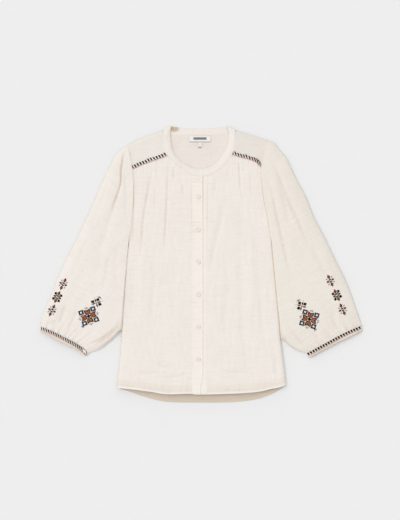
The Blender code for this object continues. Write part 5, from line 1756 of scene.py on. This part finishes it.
def join(name, pieces):
    """One object from several plain meshes."""
    points = []
    faces = []
    slots = []
    materials = []
    for piece in pieces:
        start = len(points)
        points += [tuple(v.co) for v in piece.data.vertices]
        finish = piece.data.materials[0]
        if finish not in materials:
            materials.append(finish)
        for polygon in piece.data.polygons:
            faces.append([start + v for v in polygon.vertices])
            slots.append(materials.index(finish))
        bpy.data.objects.remove(piece, do_unlink=True)
    mesh = bpy.data.meshes.new(name)
    mesh.from_pydata(points, [], faces)
    for finish in materials:
        mesh.materials.append(finish)
    mesh.polygons.foreach_set("material_index", slots)
    smoothed(mesh)
    return linked(name, mesh)


def ribbon_plate(name, place, base_z, thick, finish, wave, phase):
    """A piece of label ribbon, slightly waved."""
    x_from, x_to, y_from, y_to = place
    x = np.linspace(x_from, x_to, 40)
    y = np.linspace(y_to, y_from, 16)
    plan = np.stack(np.meshgrid(x, y), axis=-1)
    z = base_z + wave * (1.0 + np.sin(x[None, :] / 9.0 + phase)) * np.ones((16, 1))
    low = with_height(plan, z)
    high = low + UP * thick
    return shell(name, high, low, finish, plan_measure(high))


# Making the blouse

def build():
    fronts = {
        "right": front_shell(RIGHT, PLACKET_LEFT),
        "left": front_shell(LEFT, BAND_RIGHT),
    }
    yokes = {"right": yoke_shell(RIGHT), "left": yoke_shell(LEFT)}
    back = back_shell()
    under_band = strip_shell("button band", BAND_LEFT, BAND_RIGHT + STRIP_LAP, BAND_DROP,
                             near_hem=0.0, edge_painted_shade=0.0)
    placket = strip_shell("placket", PLACKET_LEFT - STRIP_LAP, PLACKET_RIGHT, -PLACKET_RISE,
                          near_hem=-6.0, edge_painted_shade=0.3)
    neckband = neckband_shell()
    sleeves = {name: sleeve_shell(made) for name, made in SLEEVES.items()}
    cuffs = {name: cuff_shell(made) for name, made in SLEEVES.items()}

    on_front = Cloth(fronts["right"], fronts["left"], placket, under_band)
    on_neck = Cloth(neckband)
    extras = {}
    for side in (RIGHT, LEFT):
        name = side.name
        extras["yoke trim " + name] = yoke_trim(side, Cloth(yokes[name]))
        extras["cuff trim " + name] = cuff_trim(SLEEVES[name], Cloth(cuffs[name]))
        extras["embroidery " + name] = embroider(name, Cloth(sleeves[name]))

    hem_lines = []
    for start, end in ((0.03, 0.44), (0.5, 0.97)):
        shares = np.linspace(start, end, 60)
        hem_lines.append(HEM.at(shares) + np.array([0.0, HEM_DEPTH - HEM_INDENT]))
    placket_lines = [np.array([(x, y) for y in (208.0, 60.0, -100.0, -262.0)])
                     for x in (PLACKET_LEFT + 2.4, PLACKET_RIGHT - 2.4)]
    box_lines = [np.array([(PLACKET_LEFT + 3.0, y), (PLACKET_RIGHT - 3.0, y)])
                 for y in (206.0, 203.5)]
    band_line = [np.array([(BAND_RIGHT - 2.0, y) for y in (206.0, -80.0, -310.0)])]
    front_stitches = running_stitches(hem_lines + placket_lines + box_lines + band_line,
                                      on_front, *TOPSTITCH)
    neck_lines = []
    for share in (0.13, 0.87):
        shares = np.linspace(0.03, 0.97, 120)
        neck_lines.append(NECK.at(shares) + (NECK_FREE.at(shares) - NECK.at(shares)) * share)
    back_shares = np.linspace(0.05, 0.95, 60)
    seam = BACK_NECK.at(back_shares)
    neck_lines.append(seam + (BACK_NECK_FREE.at(back_shares) - seam) * 0.14)
    neck_stitches = running_stitches(neck_lines, on_neck, *TOPSTITCH)
    sewing = [sewn("front topstitching", front_stitches, SEWING, *TOPSTITCH_THREAD),
              sewn("neckband topstitching", neck_stitches, SEWING, *TOPSTITCH_THREAD)]

    buttons = []
    for number in range(1, BUTTON_COUNT + 1):
        disc, holes, thread = button(number, on_front)
        buttons.append(join("button " + str(number), [disc, *holes, thread]))

    label = ribbon_plate("label", LABEL, 2.2, 0.5, LABEL_FINISH, *LABEL_WAVE)
    # The label hem shadow is a grey strip along the label's lower edge: painted shadow under its
    # folded hem.
    bars = [ribbon_plate(name, place, 2.75, 0.12, finish, *LABEL_WAVE) for name, place, finish in (
        ("label bar", LABEL_BAR_PLACE, LABEL_BAR), ("label hem shadow", LABEL_HEM_SHADOW_PLACE, LABEL_SHADE))]
    tab = ribbon_plate("size tab", SIZE_TAB, 2.1, 0.45, TAB_FINISH, *TAB_WAVE)
    mark = ribbon_plate("tab bar", TAB_BAR_PLACE, 2.6, 0.1, LABEL_BAR, *TAB_WAVE)

    declare(fronts, yokes, back, under_band, placket, neckband, sleeves, cuffs, extras,
            sewing, buttons, (label, bars), (tab, [mark]))


def stands_for(piece, node):
    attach(piece, "root")
    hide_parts(node)


def goes_along(pieces):
    for piece in pieces:
        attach(piece, "root")


def cloth_piece(piece, node, with_pieces=()):
    stands_for(piece, node)
    goes_along(with_pieces)


def trim_sheet(piece, node):
    stands_for(piece, node)


def declare(fronts, yokes, back, under_band, placket, neckband, sleeves, cuffs, extras,
            sewing, buttons, label, tab):
    """Parents every piece to the root body and hides the solid that each main piece stands for."""
    for name in ("right", "left"):
        cloth_piece(fronts[name], "front_" + name)
        trim = extras["yoke trim " + name]
        cloth_piece(yokes[name], "yoke_" + name, trim[1:])
        trim_sheet(trim[0], "yoke_trim_" + name)
        cloth_piece(sleeves[name], "sleeve_" + name,
                    extras["embroidery " + name])
        trim = extras["cuff trim " + name]
        cloth_piece(cuffs[name], "cuff_" + name,
                    trim[1:])
        trim_sheet(trim[0], "cuff_trim_" + name)
    cloth_piece(back, "back")
    cloth_piece(under_band, "button_band_left")
    cloth_piece(placket, "placket_right",
                [sewing[0]])
    cloth_piece(neckband, "neckband",
                [sewing[1]])
    for number, made in enumerate(buttons, 1):
        stands_for(made, "button_" + str(number))
    for (made, marks), node, flat in ((label, "label", (0.052, 0.0146)),
                                      (tab, "size_tab", (0.0106, 0.0144))):
        stands_for(made, node)
        goes_along(marks)
        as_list(marks)


def studio():
    """A pale paper floor, a soft key light from the upper left and even fill."""
    mesh = bpy.data.meshes.new("floor")
    corners = [(x * FLOOR_HALF, y * FLOOR_HALF, 0.0)
               for x, y in ((-1, -1), (1, -1), (1, 1), (-1, 1))]
    mesh.from_pydata(corners, [], [(0, 1, 2, 3)])
    mesh.materials.append(studio_paper("studio paper"))
    floor = placed_object("floor", mesh)

    sun = bpy.data.lights.new("key", "SUN")
    sun.energy = KEY_STRENGTH
    sun.angle = KEY_SPREAD
    key = placed_object("key", sun)
    key.rotation_euler = Vector(KEY_DIRECTION).to_track_quat("-Z", "Y").to_euler()
    world = bpy.data.worlds.new("studio")
    bpy.context.scene.world = world
    world.use_nodes = True
    background = world.node_tree.nodes["Background"]
    background.inputs["Color"].default_value = (1.0, 1.0, 1.0, 1.0)
    background.inputs["Strength"].default_value = SKY_STRENGTH
    bpy.context.scene.view_settings.view_transform = "Standard"

    data = bpy.data.cameras.new("camera")
    data.lens = LENS
    data.sensor_width = SENSOR
    data.sensor_fit = "HORIZONTAL"
    camera = placed_object("camera", data)
    camera.location = placed(VIEW_CENTRE) + UP * (VIEW_WIDE * MM * LENS / SENSOR)
    bpy.context.scene.camera = camera


studio()
build()
